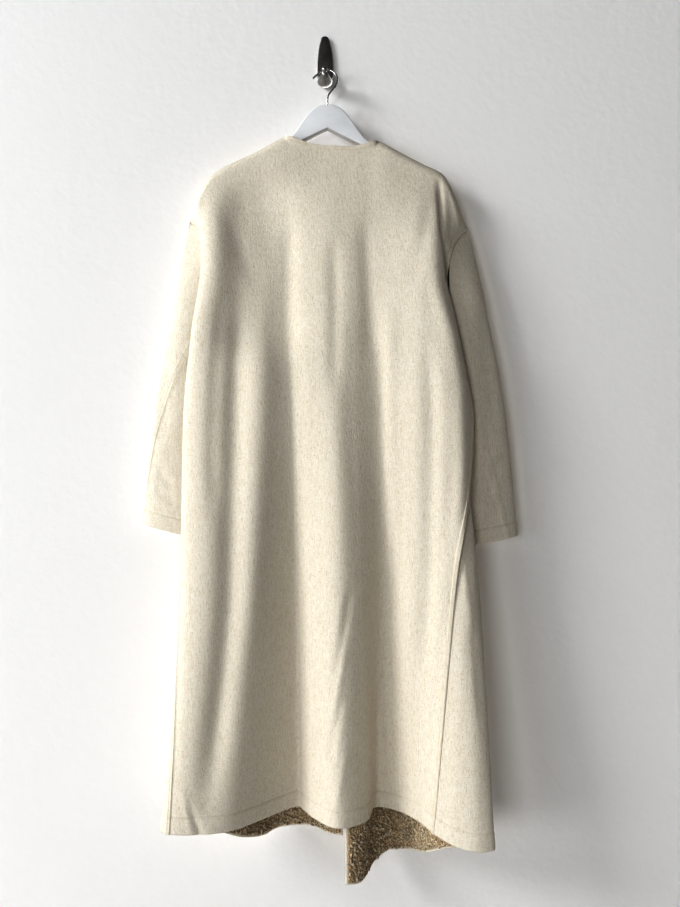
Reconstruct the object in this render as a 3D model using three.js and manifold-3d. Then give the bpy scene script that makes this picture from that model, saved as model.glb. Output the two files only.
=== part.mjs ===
// A long collarless wool coat with a pile lining, seen hanging on its hanger from a wall hook.
// Millimetres, +Z up. The origin is the middle of the wall plate's flat back face, the wall is
// the plane y = 0, and the coat hangs on the -Y side of it with its back turned to -Y.
// The wearer's left is at -X.
import * as THREE from 'three';
import { mergeVertices } from 'three/addons/utils/BufferGeometryUtils.js';
import Module from 'manifold-3d';

// ---------------------------------------------------------------- driving sizes

const WOOL = 2.0; // thickness of the wool cloth
const LINING = 3.5; // thickness of the pile lining
const SEAM_GAP = 0.6; // between two pieces that are sewn together
const LAYER_GAP = 0.35; // between the wool and its lining
const LINING_INSET = 4; // the lining ends this far inside the coat's free edges
const UNDERARM_GAP = 6; // the sleeve stands this far off the body at the underarm point
const UNDERARM_AWAY = { outward: 0.5, y: 0.8, z: -0.3 }; // in this direction
const RIDGE_ROWS = 4; // rows near the shoulder seam that stay on their own side of it
const NEAR_RIDGE = 0.5; // an edge this close to the ridge is a shoulder seam
const ARMHOLE_EASE = 2.8; // the lining lies this much looser along the armholes
const ARMHOLE_INSET = 2; // and ends this many times as far inside them

const HANG_X = 5; // the hanger hangs this far to the right of the wall plate's middle
const HANGER_Y = -32; // middle plane of the hanger
const RIDGE_Y = -32; // the shoulder seams lie in this plane
const HANGER_THICK = 16;
const HANGER_HALF = 200; // half the hanger's width
const SHOULDER_LIFT = 9.4; // the coat's outside lies this far above the hanger's top edge
const SHOULDER_DROP = { startX: HANGER_HALF + 4, rate: 0.68, power: 1.27 }; // past the hanger's tips

// heights at which the drape is given
const YOKE_Z = -380;
const ARMPIT_Z = -505;
const WAIST_Z = -640;
const HIP_Z = -900;

// the cut of the rows: shares of the way from the shoulder down to the armpit, then on to the hem
const UPPER_ROWS = [0, 0.01, 0.035, 0.09, 0.18, 0.33, 0.52, 0.72, 0.88, 1];
const LOWER_ROWS = 12;
const ARMPIT_ROW = UPPER_ROWS.length - 1;
const ROWS = ARMPIT_ROW + LOWER_ROWS;

// armholes: the shoulder point, the innermost line of the seam, the underarm point
const ARMHOLES = {
  left: { side: -1, shoulder: [-241, -303], innerX: -213, turn: 14, underarm: [-216, -505] },
  right: { side: 1, shoulder: [246, -317], innerX: 208, turn: 7, underarm: [222, -512] },
};
const ARMHOLE_BACK_Y = -60;
const ARMHOLE_FRONT_Y = -19;
const UPPER_TURN_Y = 6; // how soon an armhole leaves the ridge plane for its face
const LOWER_TURN = 2.2; // how late the front of an armhole swings back to the underarm point

// neckline: its points on the shoulder line, the low point of its back and the drop of its front;
// 'turn' is the width of the bend at each neck point and 'roundness' the front's share of a circle
const NECK = { leftX: -76, rightX: 90, lowX: 42, lowZ: -176.5, backY: -52, frontY: -14.2, frontDrop: 90,
  turn: 6, roundness: 0.94 };
// how far the cloth rounds over the hanger's edge, and within which drop
const BACK_HUMP = { out: -20, height: 18 };
const FRONT_HUMP = { out: 18, height: 18 };

// The folds of the back, from the left side seam to the right one. 'top' is the place on the
// shoulder line, the other columns give [x, y] at that height and 'hem' adds its own z.
// 'steps' is the number of grid columns up to the next fold.
const BACK_FOLDS = [
  { fold: 'left seam', steps: 1, top: -241, armpit: [-216, -60], waist: [-238, -76], hip: [-242, -86],
    hem: [-258, -135, -1320] },
  { fold: 'left edge', steps: 1, top: -229, yoke: [-215, -67], armpit: [-231, -72], waist: [-241, -84],
    hip: [-243, -94], hem: [-249, -138, -1320] },
  { fold: 'left brow', steps: 2, top: -214, yoke: [-209, -78], armpit: [-224, -85], waist: [-232, -92],
    hip: [-234, -105], hem: [-235, -140, -1320] },
  { fold: 'left crest', steps: 2, top: -198, yoke: [-188, -87], waist: [-206, -100],
    hip: [-203, -115], hem: [-208, -139, -1320] },
  { fold: 'left roll', steps: 2, top: -122, yoke: [-112, -80], waist: [-110, -95],
    hip: [-124, -108], hem: [-157, -127, -1320] },
  { fold: 'left valley', steps: 1, top: -76, yoke: [-72, -72], waist: [-58, -77],
    hip: [-54, -64], hem: [-50, -42, -1320] },
  { fold: 'left neck', steps: 2, top: -69, yoke: [-62, -72], waist: [-48, -80],
    hip: [-44, -71], hem: [-41, -54, -1320] },
  { fold: 'ridge flank', steps: 2, top: -26, yoke: [-34, -75], waist: [-27, -89],
    hip: [-22, -90], hem: [-22, -84, -1320] },
  { fold: 'centre ridge', steps: 2, top: 10, yoke: [8, -79], waist: [15, -99],
    hip: [22, -110], hem: [18, -119, -1320] },
  { fold: 'ridge edge', steps: 2, top: 46, yoke: [42, -78], waist: [45, -92],
    hip: [56, -98], hem: [66, -94, -1320] },
  { fold: 'right valley', steps: 1, top: 83, yoke: [70, -75], waist: [90, -76],
    hip: [92, -67], hem: [83, -46, -1320] },
  { fold: 'valley foot', steps: 2, top: 90, yoke: [92, -76], waist: [106, -79],
    hip: [111, -68], hem: [105, -49, -1320] },
  { fold: 'right rise', steps: 2, top: 126, yoke: [126, -83], waist: [133, -93],
    hip: [138, -91], hem: [128, -65, -1320] },
  { fold: 'right crest', steps: 2, top: 165, yoke: [160, -91], waist: [168, -106],
    hip: [163, -104], hem: [145, -85, -1320] },
  { fold: 'right brow', steps: 2, top: 201, yoke: [184, -90], waist: [204, -111],
    hip: [184, -113], hem: [157, -103, -1320] },
  { fold: 'right edge', steps: 1, top: 217, yoke: [199, -77], armpit: [214, -88], waist: [230, -99],
    hip: [198, -118], hem: [165, -117, -1321] },
  { fold: 'right groove', steps: 1, top: 233, yoke: [203, -66], armpit: [222, -74], waist: [241, -88],
    hip: [206, -119], hem: [170, -126, -1321] },
  { fold: 'right seam', steps: 0, top: 246, armpit: [222, -60], waist: [246, -77],
    hip: [214, -119], hem: [174, -134, -1322] },
];

// The folds of the two fronts, from the side seam to the front edge, in the same columns.
const FRONT_LEFT_FOLDS = [
  { ...BACK_FOLDS[0], fold: 'side seam', steps: 1 },
  { fold: 'wrap', steps: 2, top: -229, yoke: [-206, -12], armpit: [-206, -57], waist: [-224, -70],
    hip: [-235, -77], hem: [-270, -124, -1321] },
  { fold: 'tuck', steps: 2, top: -214, yoke: [-197, -10], armpit: [-194, -52], waist: [-202, -70],
    hip: [-218, -75], hem: [-258, -109, -1323] },
  { fold: 'inside bend', steps: 2, top: -198, yoke: [-184, -9], armpit: [-185, -42], waist: [-184, -62],
    hip: [-198, -69], hem: [-225, -104, -1328] },
  { fold: 'side', steps: 2, top: -162, yoke: [-164, -8.5], armpit: [-177, -22], waist: [-175, -40],
    hip: [-180, -50], hem: [-180, -100, -1334] },
  { fold: 'front corner', steps: 1, top: -122, yoke: [-136, -8.5], armpit: [-155, -10], waist: [-162, -17],
    hip: [-163, -26], hem: [-146, -78, -1354] },
  { fold: 'left flat', steps: 1, top: -97, yoke: [-104, -9], waist: [-124, -9],
    hip: [-125, -11], hem: [-113, -38, -1371] },
  { fold: 'neck corner', steps: 1, top: -76, yoke: [-82, -9], waist: [-95, -9],
    hip: [-95, -9.5], hem: [-95, -19, -1370] },
  { fold: 'wall fold', steps: 2, top: -69, yoke: [-70, -9.5], waist: [-80, -9],
    hip: [-81, -9], hem: [-82, -12, -1369] },
  { fold: 'middle flat', steps: 2, top: -33, yoke: [-35, -10.5], waist: [-37, -10],
    hip: [-35, -11], hem: [-29, -13, -1366] },
  { fold: 'inner flat', steps: 2, top: -6, yoke: [-7, -11.5], waist: [-7, -12],
    hip: [-2, -20], hem: [3, -42, -1365] },
  { fold: 'front edge', steps: 0, top: 16, yoke: [16, -12], waist: [17, -13],
    hip: [22, -25], hem: [27, -46, -1367] },
];
const FRONT_RIGHT_FOLDS = [
  { ...BACK_FOLDS[BACK_FOLDS.length - 1], fold: 'side seam', steps: 1 },
  { fold: 'outer flap', steps: 2, top: 233, yoke: [202, -12], armpit: [213, -57], waist: [240, -66],
    hip: [229, -119], hem: [205, -156, -1330] },
  { fold: 'flap crest', steps: 2, top: 217, yoke: [195, -10], armpit: [203, -56], waist: [227, -65],
    hip: [244, -112], hem: [241, -167, -1333] },
  { fold: 'flap edge', steps: 2, top: 201, yoke: [185, -9.5], armpit: [195, -54], waist: [210, -66],
    hip: [251, -97], hem: [267, -160, -1332] },
  { fold: 'return', steps: 2, top: 180, yoke: [172, -9], armpit: [187, -38], waist: [192, -63],
    hip: [232, -84], hem: [254, -143, -1333] },
  { fold: 'inside bend', steps: 2, top: 158, yoke: [155, -8.5], armpit: [177, -19], waist: [180, -42],
    hip: [199, -74], hem: [226, -137, -1338] },
  { fold: 'side', steps: 2, top: 134, yoke: [134, -8.5], armpit: [157, -10], waist: [168, -19],
    hip: [178, -47], hem: [197, -129, -1346] },
  { fold: 'dive', steps: 2, top: 110, yoke: [111, -9], waist: [145, -10],
    hip: [157, -21], hem: [168, -88, -1374] },
  { fold: 'neck corner', steps: 1, top: 90, yoke: [95, -9.5], waist: [123, -9.5],
    hip: [137, -14], hem: [144, -40, -1395] },
  { fold: 'wall fold', steps: 2, top: 83, yoke: [84, -9.5], waist: [108, -9.5],
    hip: [122, -12], hem: [129, -23, -1403] },
  { fold: 'inner fold', steps: 2, top: 62, yoke: [63, -10.5], waist: [80, -10.5],
    hip: [96, -15], hem: [107, -20, -1406] },
  { fold: 'edge rise', steps: 2, top: 44, yoke: [45, -11.5], waist: [55, -12.5],
    hip: [66, -26], hem: [76, -38, -1421] },
  { fold: 'edge curl', steps: 1, top: 33, yoke: [34, -12], waist: [38, -14],
    hip: [46, -42], hem: [55, -77, -1431] },
  { fold: 'front edge', steps: 0, top: 24, yoke: [25, -12], waist: [26, -14],
    hip: [29, -45], hem: [31, -89, -1428] },
];

// sleeves: points of the outer line [x, z], the inner end of the cuff, and half depths along it
const SLEEVES = {
  left: { outer: [[-268, -441], [-301, -627], [-319.5, -829]], cuffInner: [-199, -857] },
  right: { outer: [[275, -446], [308, -627], [330, -849]], cuffInner: [207, -872] },
};
const SLEEVE_Y = -40;
const SLEEVE_HALF_DEPTH = { top: 22, elbow: 23, cuff: 25 };
const SLEEVE_RINGS = 13;
const SLEEVE_RING_CROWDING = 1.25; // the rings stand closer together near the armhole
const SLEEVE_START = { outward: 6, down: -60 }; // the way the inner line leaves the underarm
const SLEEVE_CUFF_PULL = 110; // length of the straight end of the inner line above the cuff
const SLEEVE_INNER_LAG = 1.2;
const ARMHOLE_FADE = 5; // how fast the armhole's shape gives way to the plain oval

// hanger: the visible part of its top edge [x, z], then a straight slope; its lower edge
const HANGER_TOP = [[0, -99], [20, -103.5], [39, -122], [54, -143.5], [68, -160], [84, -169.2]];
const HANGER_SLOPE = 0.52;
const HANGER_APEX_Z = -140; // top of the notch under the middle
const HANGER_TIP_HEIGHT = 17;
const HANGER_UNDER = [[55, -167.5]]; // the lower edge bends here, beside the notch
const HANGER_CORNER = 4; // the tips' cut corners
const HANGER_CREST_POINTS = 28;
const HANGER_BEVEL = 2.5;

// wire hook: its middle line [x, z] in the hanger's plane, from the free tip to the wood
const WIRE_RADIUS = 1.8;
const WIRE_SIDES = 8;
const WIRE_STEPS = 48;
const WIRE_LINE = [[-26, -51.5], [-19, -45], [-11, -39], [-3, -35.8], [5, -36.6], [12, -41.5], [16.6, -49],
  [17, -57], [13, -66], [6, -74], [1.6, -81], [0, -89], [0, -98.6]];

// wall hook: a tapered plate and a thick horn that ends in a ball
const PLATE = { topZ: 38.5, bottomZ: -40, topHalf: 7.5, bottomHalf: 15, thick: 6, bevel: 2,
  shoulder: 10, sideZ: 8, belly: 3 };
const HORN = [
  { y: -3, z: -42, half: 13.5, up: 11, down: 11 }, // starts at the middle of the plate's thickness
  { y: -12, z: -45, half: 13.5, up: 7, down: 12 },
  { y: -20, z: -47.5, half: 12, up: 6.5, down: 10.5 },
  { y: -28, z: -47.5, half: 9.5, up: 8, down: 8.5 },
  { y: -35, z: -45.5, half: 6.5, up: 6.2, down: 6 },
  { y: -39, z: -43.5, half: 4, up: 4, down: 4 },
];
const HORN_BALL = { y: -43.5, z: -41, radius: 5.2 };
const HORN_SIDES = 16;
const BALL_RINGS = 12;
const SAME_POINT = 1e-4; // corners closer than this are one corner

// ---------------------------------------------------------------- small helpers

const clamp01 = (t) => Math.min(1, Math.max(0, t));
const lerp = (a, b, t) => a + (b - a) * t;
const easeInOut = (t) => t * t * (3 - 2 * t);
const quarterRound = (t) => Math.sqrt(Math.max(0, 1 - (1 - clamp01(t)) ** 2));

// A smooth curve through values at given heights that never swings past a value.
function throughHeights(knots, z, axis) {
  const last = knots.length - 1;
  if (z >= knots[0].z) return knots[0].at[axis];
  if (z <= knots[last].z) return knots[last].at[axis];
  let i = 0;
  while (z < knots[i + 1].z) i += 1;
  const slope = (k) => (knots[k + 1].at[axis] - knots[k].at[axis]) / (knots[k + 1].z - knots[k].z);
  const tangent = (k) => {
    if (k === 0) return 0;
    if (k === last) return slope(last - 1);
    const before = slope(k - 1);
    const after = slope(k);
    return before * after <= 0 ? 0 : (2 * before * after) / (before + after);
  };
  const span = knots[i + 1].z - knots[i].z;
  const t = (z - knots[i].z) / span;
  const a = knots[i].at[axis];
  const b = knots[i + 1].at[axis];
  const ta = tangent(i) * span;
  const tb = tangent(i + 1) * span;
  const t2 = t * t;
  const t3 = t2 * t;
  return a * (2 * t3 - 3 * t2 + 1) + ta * (t3 - 2 * t2 + t) + b * (3 * t2 - 2 * t3) + tb * (t3 - t2);
}

// ---------------------------------------------------------------- the coat's lines

function hangerTopZ(x) {
  const far = Math.abs(x);
  const end = HANGER_TOP[HANGER_TOP.length - 1];
  if (far >= end[0]) return end[1] - (far - end[0]) * HANGER_SLOPE;
  let i = 0;
  while (far > HANGER_TOP[i + 1][0]) i += 1;
  const [x0, z0] = HANGER_TOP[i];
  const [x1, z1] = HANGER_TOP[i + 1];
  return lerp(z0, z1, (far - x0) / (x1 - x0));
}

// The shoulder line follows the hanger and rounds down past its tips to the shoulder point.
function shoulderZ(x) {
  const end = HANGER_TOP[HANGER_TOP.length - 1];
  const straight = end[1] + SHOULDER_LIFT - (Math.abs(x) - end[0]) * HANGER_SLOPE;
  const past = Math.max(0, Math.abs(x) - SHOULDER_DROP.startX);
  return straight - SHOULDER_DROP.rate * past ** SHOULDER_DROP.power;
}

function neckBackZ(x) {
  const { leftX, rightX, lowX, lowZ } = NECK;
  const endX = x < lowX ? leftX : rightX;
  return lowZ + (shoulderZ(endX) - lowZ) * ((x - lowX) / (endX - lowX)) ** 3;
}

// The front of the neckline is a quarter round from the neck point down to the front edge.
function neckFrontZ(x, neckX, edgeX) {
  const t = clamp01((x - neckX) / (edgeX - neckX));
  const round = Math.sqrt(1 - t * t) * NECK.roundness + (1 - t) * (1 - NECK.roundness);
  return shoulderZ(neckX) - NECK.frontDrop * (1 - round);
}

// A point of an armhole seam. t runs from the shoulder point (0) to the underarm (1).
function armholePoint(armhole, t, isFront) {
  const { shoulder, innerX, turn, underarm } = armhole;
  const z = lerp(shoulder[1], underarm[1], t);
  const inward = 1 - (1 - t) ** turn;
  const x = lerp(shoulder[0], innerX, inward) + (underarm[0] - innerX) * t ** 4;
  const faceY = isFront ? ARMHOLE_FRONT_Y : ARMHOLE_BACK_Y;
  const outward = 1 - (1 - t) ** UPPER_TURN_Y;
  const y = lerp(RIDGE_Y, faceY, outward) + (ARMHOLE_BACK_Y - faceY) * t ** LOWER_TURN;
  return new THREE.Vector3(x, y, z);
}

// ---------------------------------------------------------------- panels

function foldKnots(fold, hemZ) {
  const levels = [['yoke', YOKE_Z], ['armpit', ARMPIT_Z], ['waist', WAIST_Z], ['hip', HIP_Z], ['hem', hemZ]];
  return levels.filter(([name]) => fold[name]).map(([name, z]) => ({ z, at: fold[name] }));
}

// The drape of one fold at one row of the grid.
function foldPoint(fold, row, panel) {
  const hemZ = fold.hem[2];
  const share = (row - ARMPIT_ROW) / LOWER_ROWS;
  const armhole = panel.armholeOf(fold);
  if (row <= ARMPIT_ROW && armhole) {
    return armholePoint(armhole, UPPER_ROWS[row], panel.isFront);
  }
  const seamZ = armhole ? armhole.underarm[1] : ARMPIT_Z;
  const top = panel.topPoint(fold.top);
  const z = row <= ARMPIT_ROW ? lerp(top.z, ARMPIT_Z, UPPER_ROWS[row]) : lerp(seamZ, hemZ, share);
  const knots = foldKnots(fold, hemZ);
  if (armhole) knots[0] = { z: seamZ, at: knots[0].at };
  let x = throughHeights(knots, z, 0);
  let y = throughHeights(knots, z, 1);
  if (z > YOKE_Z) {
    const down = clamp01((top.z - z) / (top.z - YOKE_Z));
    const yoke = knots[0].at;
    x = lerp(top.x, yoke[0], 1 - (1 - down) ** 2);
    const hump = panel.hump.out * top.onShoulder;
    const rest = yoke[1] - top.y - hump;
    y = top.y + hump * quarterRound((top.z - z) / panel.hump.height) + rest * easeInOut(down);
  }
  return new THREE.Vector3(x, y, z);
}

// Points of a panel at a place across its folds (0 to the number of folds less one).
function panelSurface(panel) {
  const curves = [];
  for (let row = 0; row <= ROWS; row += 1) {
    const points = panel.folds.map((fold) => foldPoint(fold, row, panel));
    curves.push(new THREE.CatmullRomCurve3(points, false, 'centripetal'));
  }
  const last = panel.folds.length - 1;
  return (across, row) => {
    const low = Math.min(ROWS - 1, Math.floor(row));
    const a = curves[low].getPoint(across / last);
    const b = curves[low + 1].getPoint(across / last);
    return a.lerp(b, row - low);
  };
}

function columnPlaces(folds) {
  const places = [];
  folds.forEach((fold, index) => {
    for (let step = 0; step < fold.steps; step += 1) places.push(index + step / fold.steps);
  });
  places.push(folds.length - 1);
  return places;
}

const backPanel = {
  folds: BACK_FOLDS, isFront: false, turned: true, hump: BACK_HUMP,
  armholeOf: (fold) => ({ 'left seam': ARMHOLES.left, 'right seam': ARMHOLES.right })[fold.fold],
  topPoint: (x) => {
    const onNeck = clamp01(Math.min(x - NECK.leftX, NECK.rightX - x) / NECK.turn);
    const z = onNeck > 0 ? neckBackZ(x) : shoulderZ(x);
    return { x, y: lerp(RIDGE_Y, NECK.backY, onNeck), z, onShoulder: 1 - onNeck };
  },
};

function frontPanel(folds, armhole, neckX, turned) {
  const edgeX = folds[folds.length - 1].top;
  return {
    folds, isFront: true, turned, hump: FRONT_HUMP,
    armholeOf: (fold) => (fold.fold === 'side seam' ? armhole : undefined),
    topPoint: (x) => {
      const inward = (x - neckX) * Math.sign(edgeX - neckX);
      const onNeck = clamp01(inward / NECK.turn);
      const z = onNeck > 0 ? neckFrontZ(x, neckX, edgeX) : shoulderZ(x);
      return { x, y: lerp(RIDGE_Y, NECK.frontY, onNeck), z, onShoulder: 1 - onNeck };
    },
  };
}
const leftPanel = frontPanel(FRONT_LEFT_FOLDS, ARMHOLES.left, NECK.leftX, false);
const rightPanel = frontPanel(FRONT_RIGHT_FOLDS, ARMHOLES.right, NECK.rightX, true);

// ---------------------------------------------------------------- sleeves

// Angles round a sleeve: down the back of the armhole and up its front, in the panels' own rows.
function ringAngles() {
  const down = UPPER_ROWS.map((t) => Math.acos(1 - 2 * t));
  const up = down.slice(1, -1).reverse().map((angle) => 2 * Math.PI - angle);
  return [...down, ...up];
}

function sleeveSurface(armhole, sleeve) {
  const flat = ([x, z]) => new THREE.Vector3(x, 0, z);
  const outerLine = new THREE.CatmullRomCurve3([armhole.shoulder, ...sleeve.outer].map(flat));
  const under = flat(armhole.underarm);
  const start = new THREE.Vector3(armhole.side * SLEEVE_START.outward, 0, SLEEVE_START.down);
  const innerEnd = flat(sleeve.cuffInner);
  const aboveCuff = innerEnd.clone();
  aboveCuff.z += SLEEVE_CUFF_PULL;
  const innerLine = new THREE.CubicBezierCurve3(under, under.clone().add(start), aboveCuff, innerEnd);
  const halfDepth = (t) => (t < 0.5
    ? lerp(SLEEVE_HALF_DEPTH.top, SLEEVE_HALF_DEPTH.elbow, t * 2)
    : lerp(SLEEVE_HALF_DEPTH.elbow, SLEEVE_HALF_DEPTH.cuff, t * 2 - 1));
  const plain = (angle, t) => {
    const outer = outerLine.getPoint(t);
    const inner = innerLine.getPoint(t ** SLEEVE_INNER_LAG);
    const middle = outer.clone().lerp(inner, 0.5);
    const reach = outer.clone().sub(middle);
    const point = middle.addScaledVector(reach, Math.cos(angle));
    point.y = SLEEVE_Y - halfDepth(t) * Math.sin(angle);
    return point;
  };
  const seamPoint = (angle) => {
    const t = (1 - Math.cos(angle)) / 2;
    return armholePoint(armhole, t, angle > Math.PI);
  };
  return (angle, t) => {
    const drift = seamPoint(angle).sub(plain(angle, 0));
    return plain(angle, t).addScaledVector(drift, (1 - t) ** ARMHOLE_FADE);
  };
}

// ---------------------------------------------------------------- walls from grids of points

function facesOfGrid(columns, rows, closed, turned) {
  const faces = [];
  const across = closed ? columns : columns - 1;
  for (let i = 0; i < across; i += 1) {
    for (let j = 0; j < rows - 1; j += 1) {
      const a = i * rows + j;
      const b = ((i + 1) % columns) * rows + j;
      const quad = [[a, b, b + 1], [a, b + 1, a + 1]];
      quad.forEach((f) => faces.push(turned ? [f[0], f[2], f[1]] : f));
    }
  }
  return faces;
}

function gridNormals(grid, closed, turned) {
  const rows = grid[0].length;
  const points = grid.flat();
  const normals = points.map(() => new THREE.Vector3());
  const edge = new THREE.Vector3();
  const side = new THREE.Vector3();
  for (const [a, b, c] of facesOfGrid(grid.length, rows, closed, turned)) {
    edge.subVectors(points[b], points[a]);
    side.subVectors(points[c], points[a]);
    edge.cross(side);
    [a, b, c].forEach((index) => normals[index].add(edge));
  }
  normals.forEach((normal) => normal.normalize());
  return grid.map((column, i) => column.map((_, j) => normals[i * rows + j]));
}

const insetGrid = (grid, normals, depthAt, keepOnSide = (point) => point) => grid.map(
  (column, i) => column.map((point, j) => keepOnSide(
    point.clone().addScaledVector(normals[i][j], -depthAt(i, j)), j)));

// A closed wall between two grids: the outer face, the inner face and the strips round the edges.
function wallGeometry(outer, inner, closed, turned) {
  const columns = outer.length;
  const rows = outer[0].length;
  const count = columns * rows;
  const faces = facesOfGrid(columns, rows, closed, turned);
  const indices = [];
  for (const [a, b, c] of faces) indices.push(a, b, c, a + count, c + count, b + count);
  // 'crossed' picks the strip's diagonal, so that two edges sewn together are cut alike
  const strip = (a, b, crossed = false) => {
    const straight = [a, b + count, b, a, a + count, b + count];
    const quad = crossed ? [a, a + count, b, b, a + count, b + count] : straight;
    indices.push(...(turned ? [quad[0], quad[2], quad[1], quad[3], quad[5], quad[4]] : quad));
  };
  const across = closed ? columns : columns - 1;
  for (let i = 0; i < across; i += 1) {
    const next = ((i + 1) % columns) * rows;
    strip(i * rows, next, closed && i >= columns / 2);
    strip(next + rows - 1, i * rows + rows - 1);
  }
  if (!closed) {
    for (let j = 0; j < rows - 1; j += 1) {
      strip(j + 1, j, true);
      strip((columns - 1) * rows + j, (columns - 1) * rows + j + 1);
    }
  }
  const positions = [...outer.flat(), ...inner.flat()].flatMap((p) => [p.x, p.y, p.z]);
  const geometry = new THREE.BufferGeometry();
  geometry.setAttribute('position', new THREE.Float32BufferAttribute(positions, 3));
  geometry.setIndex(indices);
  geometry.computeVertexNormals();
  return geometry;
}

// ---------------------------------------------------------------- meshes

const material = (color, roughness, metalness = 0) => new THREE.MeshStandardMaterial(
  { color, roughness, metalness, side: THREE.DoubleSide });
const woolMaterial = material('#dcd5c2', 0.95);
const pileMaterial = material('#a99878', 0.98);
const paintMaterial = material('#d9dbde', 0.55);
const chromeMaterial = material('#b9bbbd', 0.2, 1);
const nickelMaterial = material('#4a4744', 0.25, 1);

function namedMesh(name, geometry, meshMaterial) {
  const mesh = new THREE.Mesh(geometry, meshMaterial.clone());
  mesh.name = name;
  return mesh;
}

// The grid of points of a panel: a column for each place across it, a point for each row.
function panelGrid(panel) {
  const surface = panelSurface(panel);
  return columnPlaces(panel.folds).map((place) => {
    const column = [];
    for (let row = 0; row <= ROWS; row += 1) column.push(surface(place, row));
    const beyondRidge = panel.isFront ? Math.max : Math.min;
    column.slice(0, RIDGE_ROWS - 1).forEach((point) => { point.y = beyondRidge(point.y, RIDGE_Y); });
    return column;
  });
}

// Moves a point of an edge into its piece, square to the direction through the cloth.
function pullEdge(point, from, toward, normal, distance) {
  const into = toward.clone().sub(from);
  into.addScaledVector(normal, -into.dot(normal)).normalize();
  point.addScaledVector(into, distance);
}

// Keeps the sewn edges of a grid back from their seams.
function trimGrid(grid, normals, margins) {
  const trimmed = grid.map((column) => column.map((point) => point.clone()));
  const last = grid.length - 1;
  for (let row = 0; row <= ROWS; row += 1) {
    pullEdge(trimmed[0][row], grid[0][row], grid[1][row], normals[0][row], margins.first);
    pullEdge(trimmed[last][row], grid[last][row], grid[last - 1][row], normals[last][row], margins.last);
  }
  grid.forEach((column, i) => {
    pullEdge(trimmed[i][0], column[0], column[2], normals[i][0], margins.top);
  });
  return trimmed;
}

// Shortens the lining at the coat's free edges and armholes, both of its faces alike.
function shortenLining(faces, lastIsFree) {
  const [outer] = faces;
  const last = outer.length - 1;
  const slide = (i, j, ni, nj) => {
    const inset = LINING_INSET * (i !== ni && j <= ARMPIT_ROW ? ARMHOLE_INSET : 1);
    const share = inset / outer[i][j].distanceTo(outer[ni][nj]);
    faces.forEach((grid) => grid[i][j].lerp(grid[ni][nj], share));
  };
  for (let row = 0; row <= ROWS; row += 1) {
    const isArmhole = row <= ARMPIT_ROW;
    if (isArmhole) slide(0, row, 1, row);
    if (isArmhole || lastIsFree) slide(last, row, last - 1, row);
  }
  for (let column = 0; column <= last; column += 1) slide(column, ROWS, column, ROWS - 1);
}

function sleeveGrid(armhole, sleeve) {
  const surface = sleeveSurface(armhole, sleeve);
  return ringAngles().map((angle) => {
    const line = [];
    for (let ring = 0; ring <= SLEEVE_RINGS; ring += 1) {
      line.push(surface(angle, (ring / SLEEVE_RINGS) ** SLEEVE_RING_CROWDING));
    }
    return line;
  });
}

// Gives edges that are sewn together the same direction through the cloth.
function shareNormal(...normals) {
  const sum = normals.reduce((total, normal) => total.add(normal), new THREE.Vector3()).normalize();
  normals.forEach((normal) => normal.copy(sum));
}

// At the shoulder seam the cloth's edge stands in the plane of the ridge; the neck's edge doesn't.
function squareShoulder(grid, normals) {
  grid.forEach((column, i) => {
    if (Math.abs(column[0].y - RIDGE_Y) > NEAR_RIDGE) return;
    normals[i][0].y = 0;
    normals[i][0].normalize();
  });
}

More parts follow.
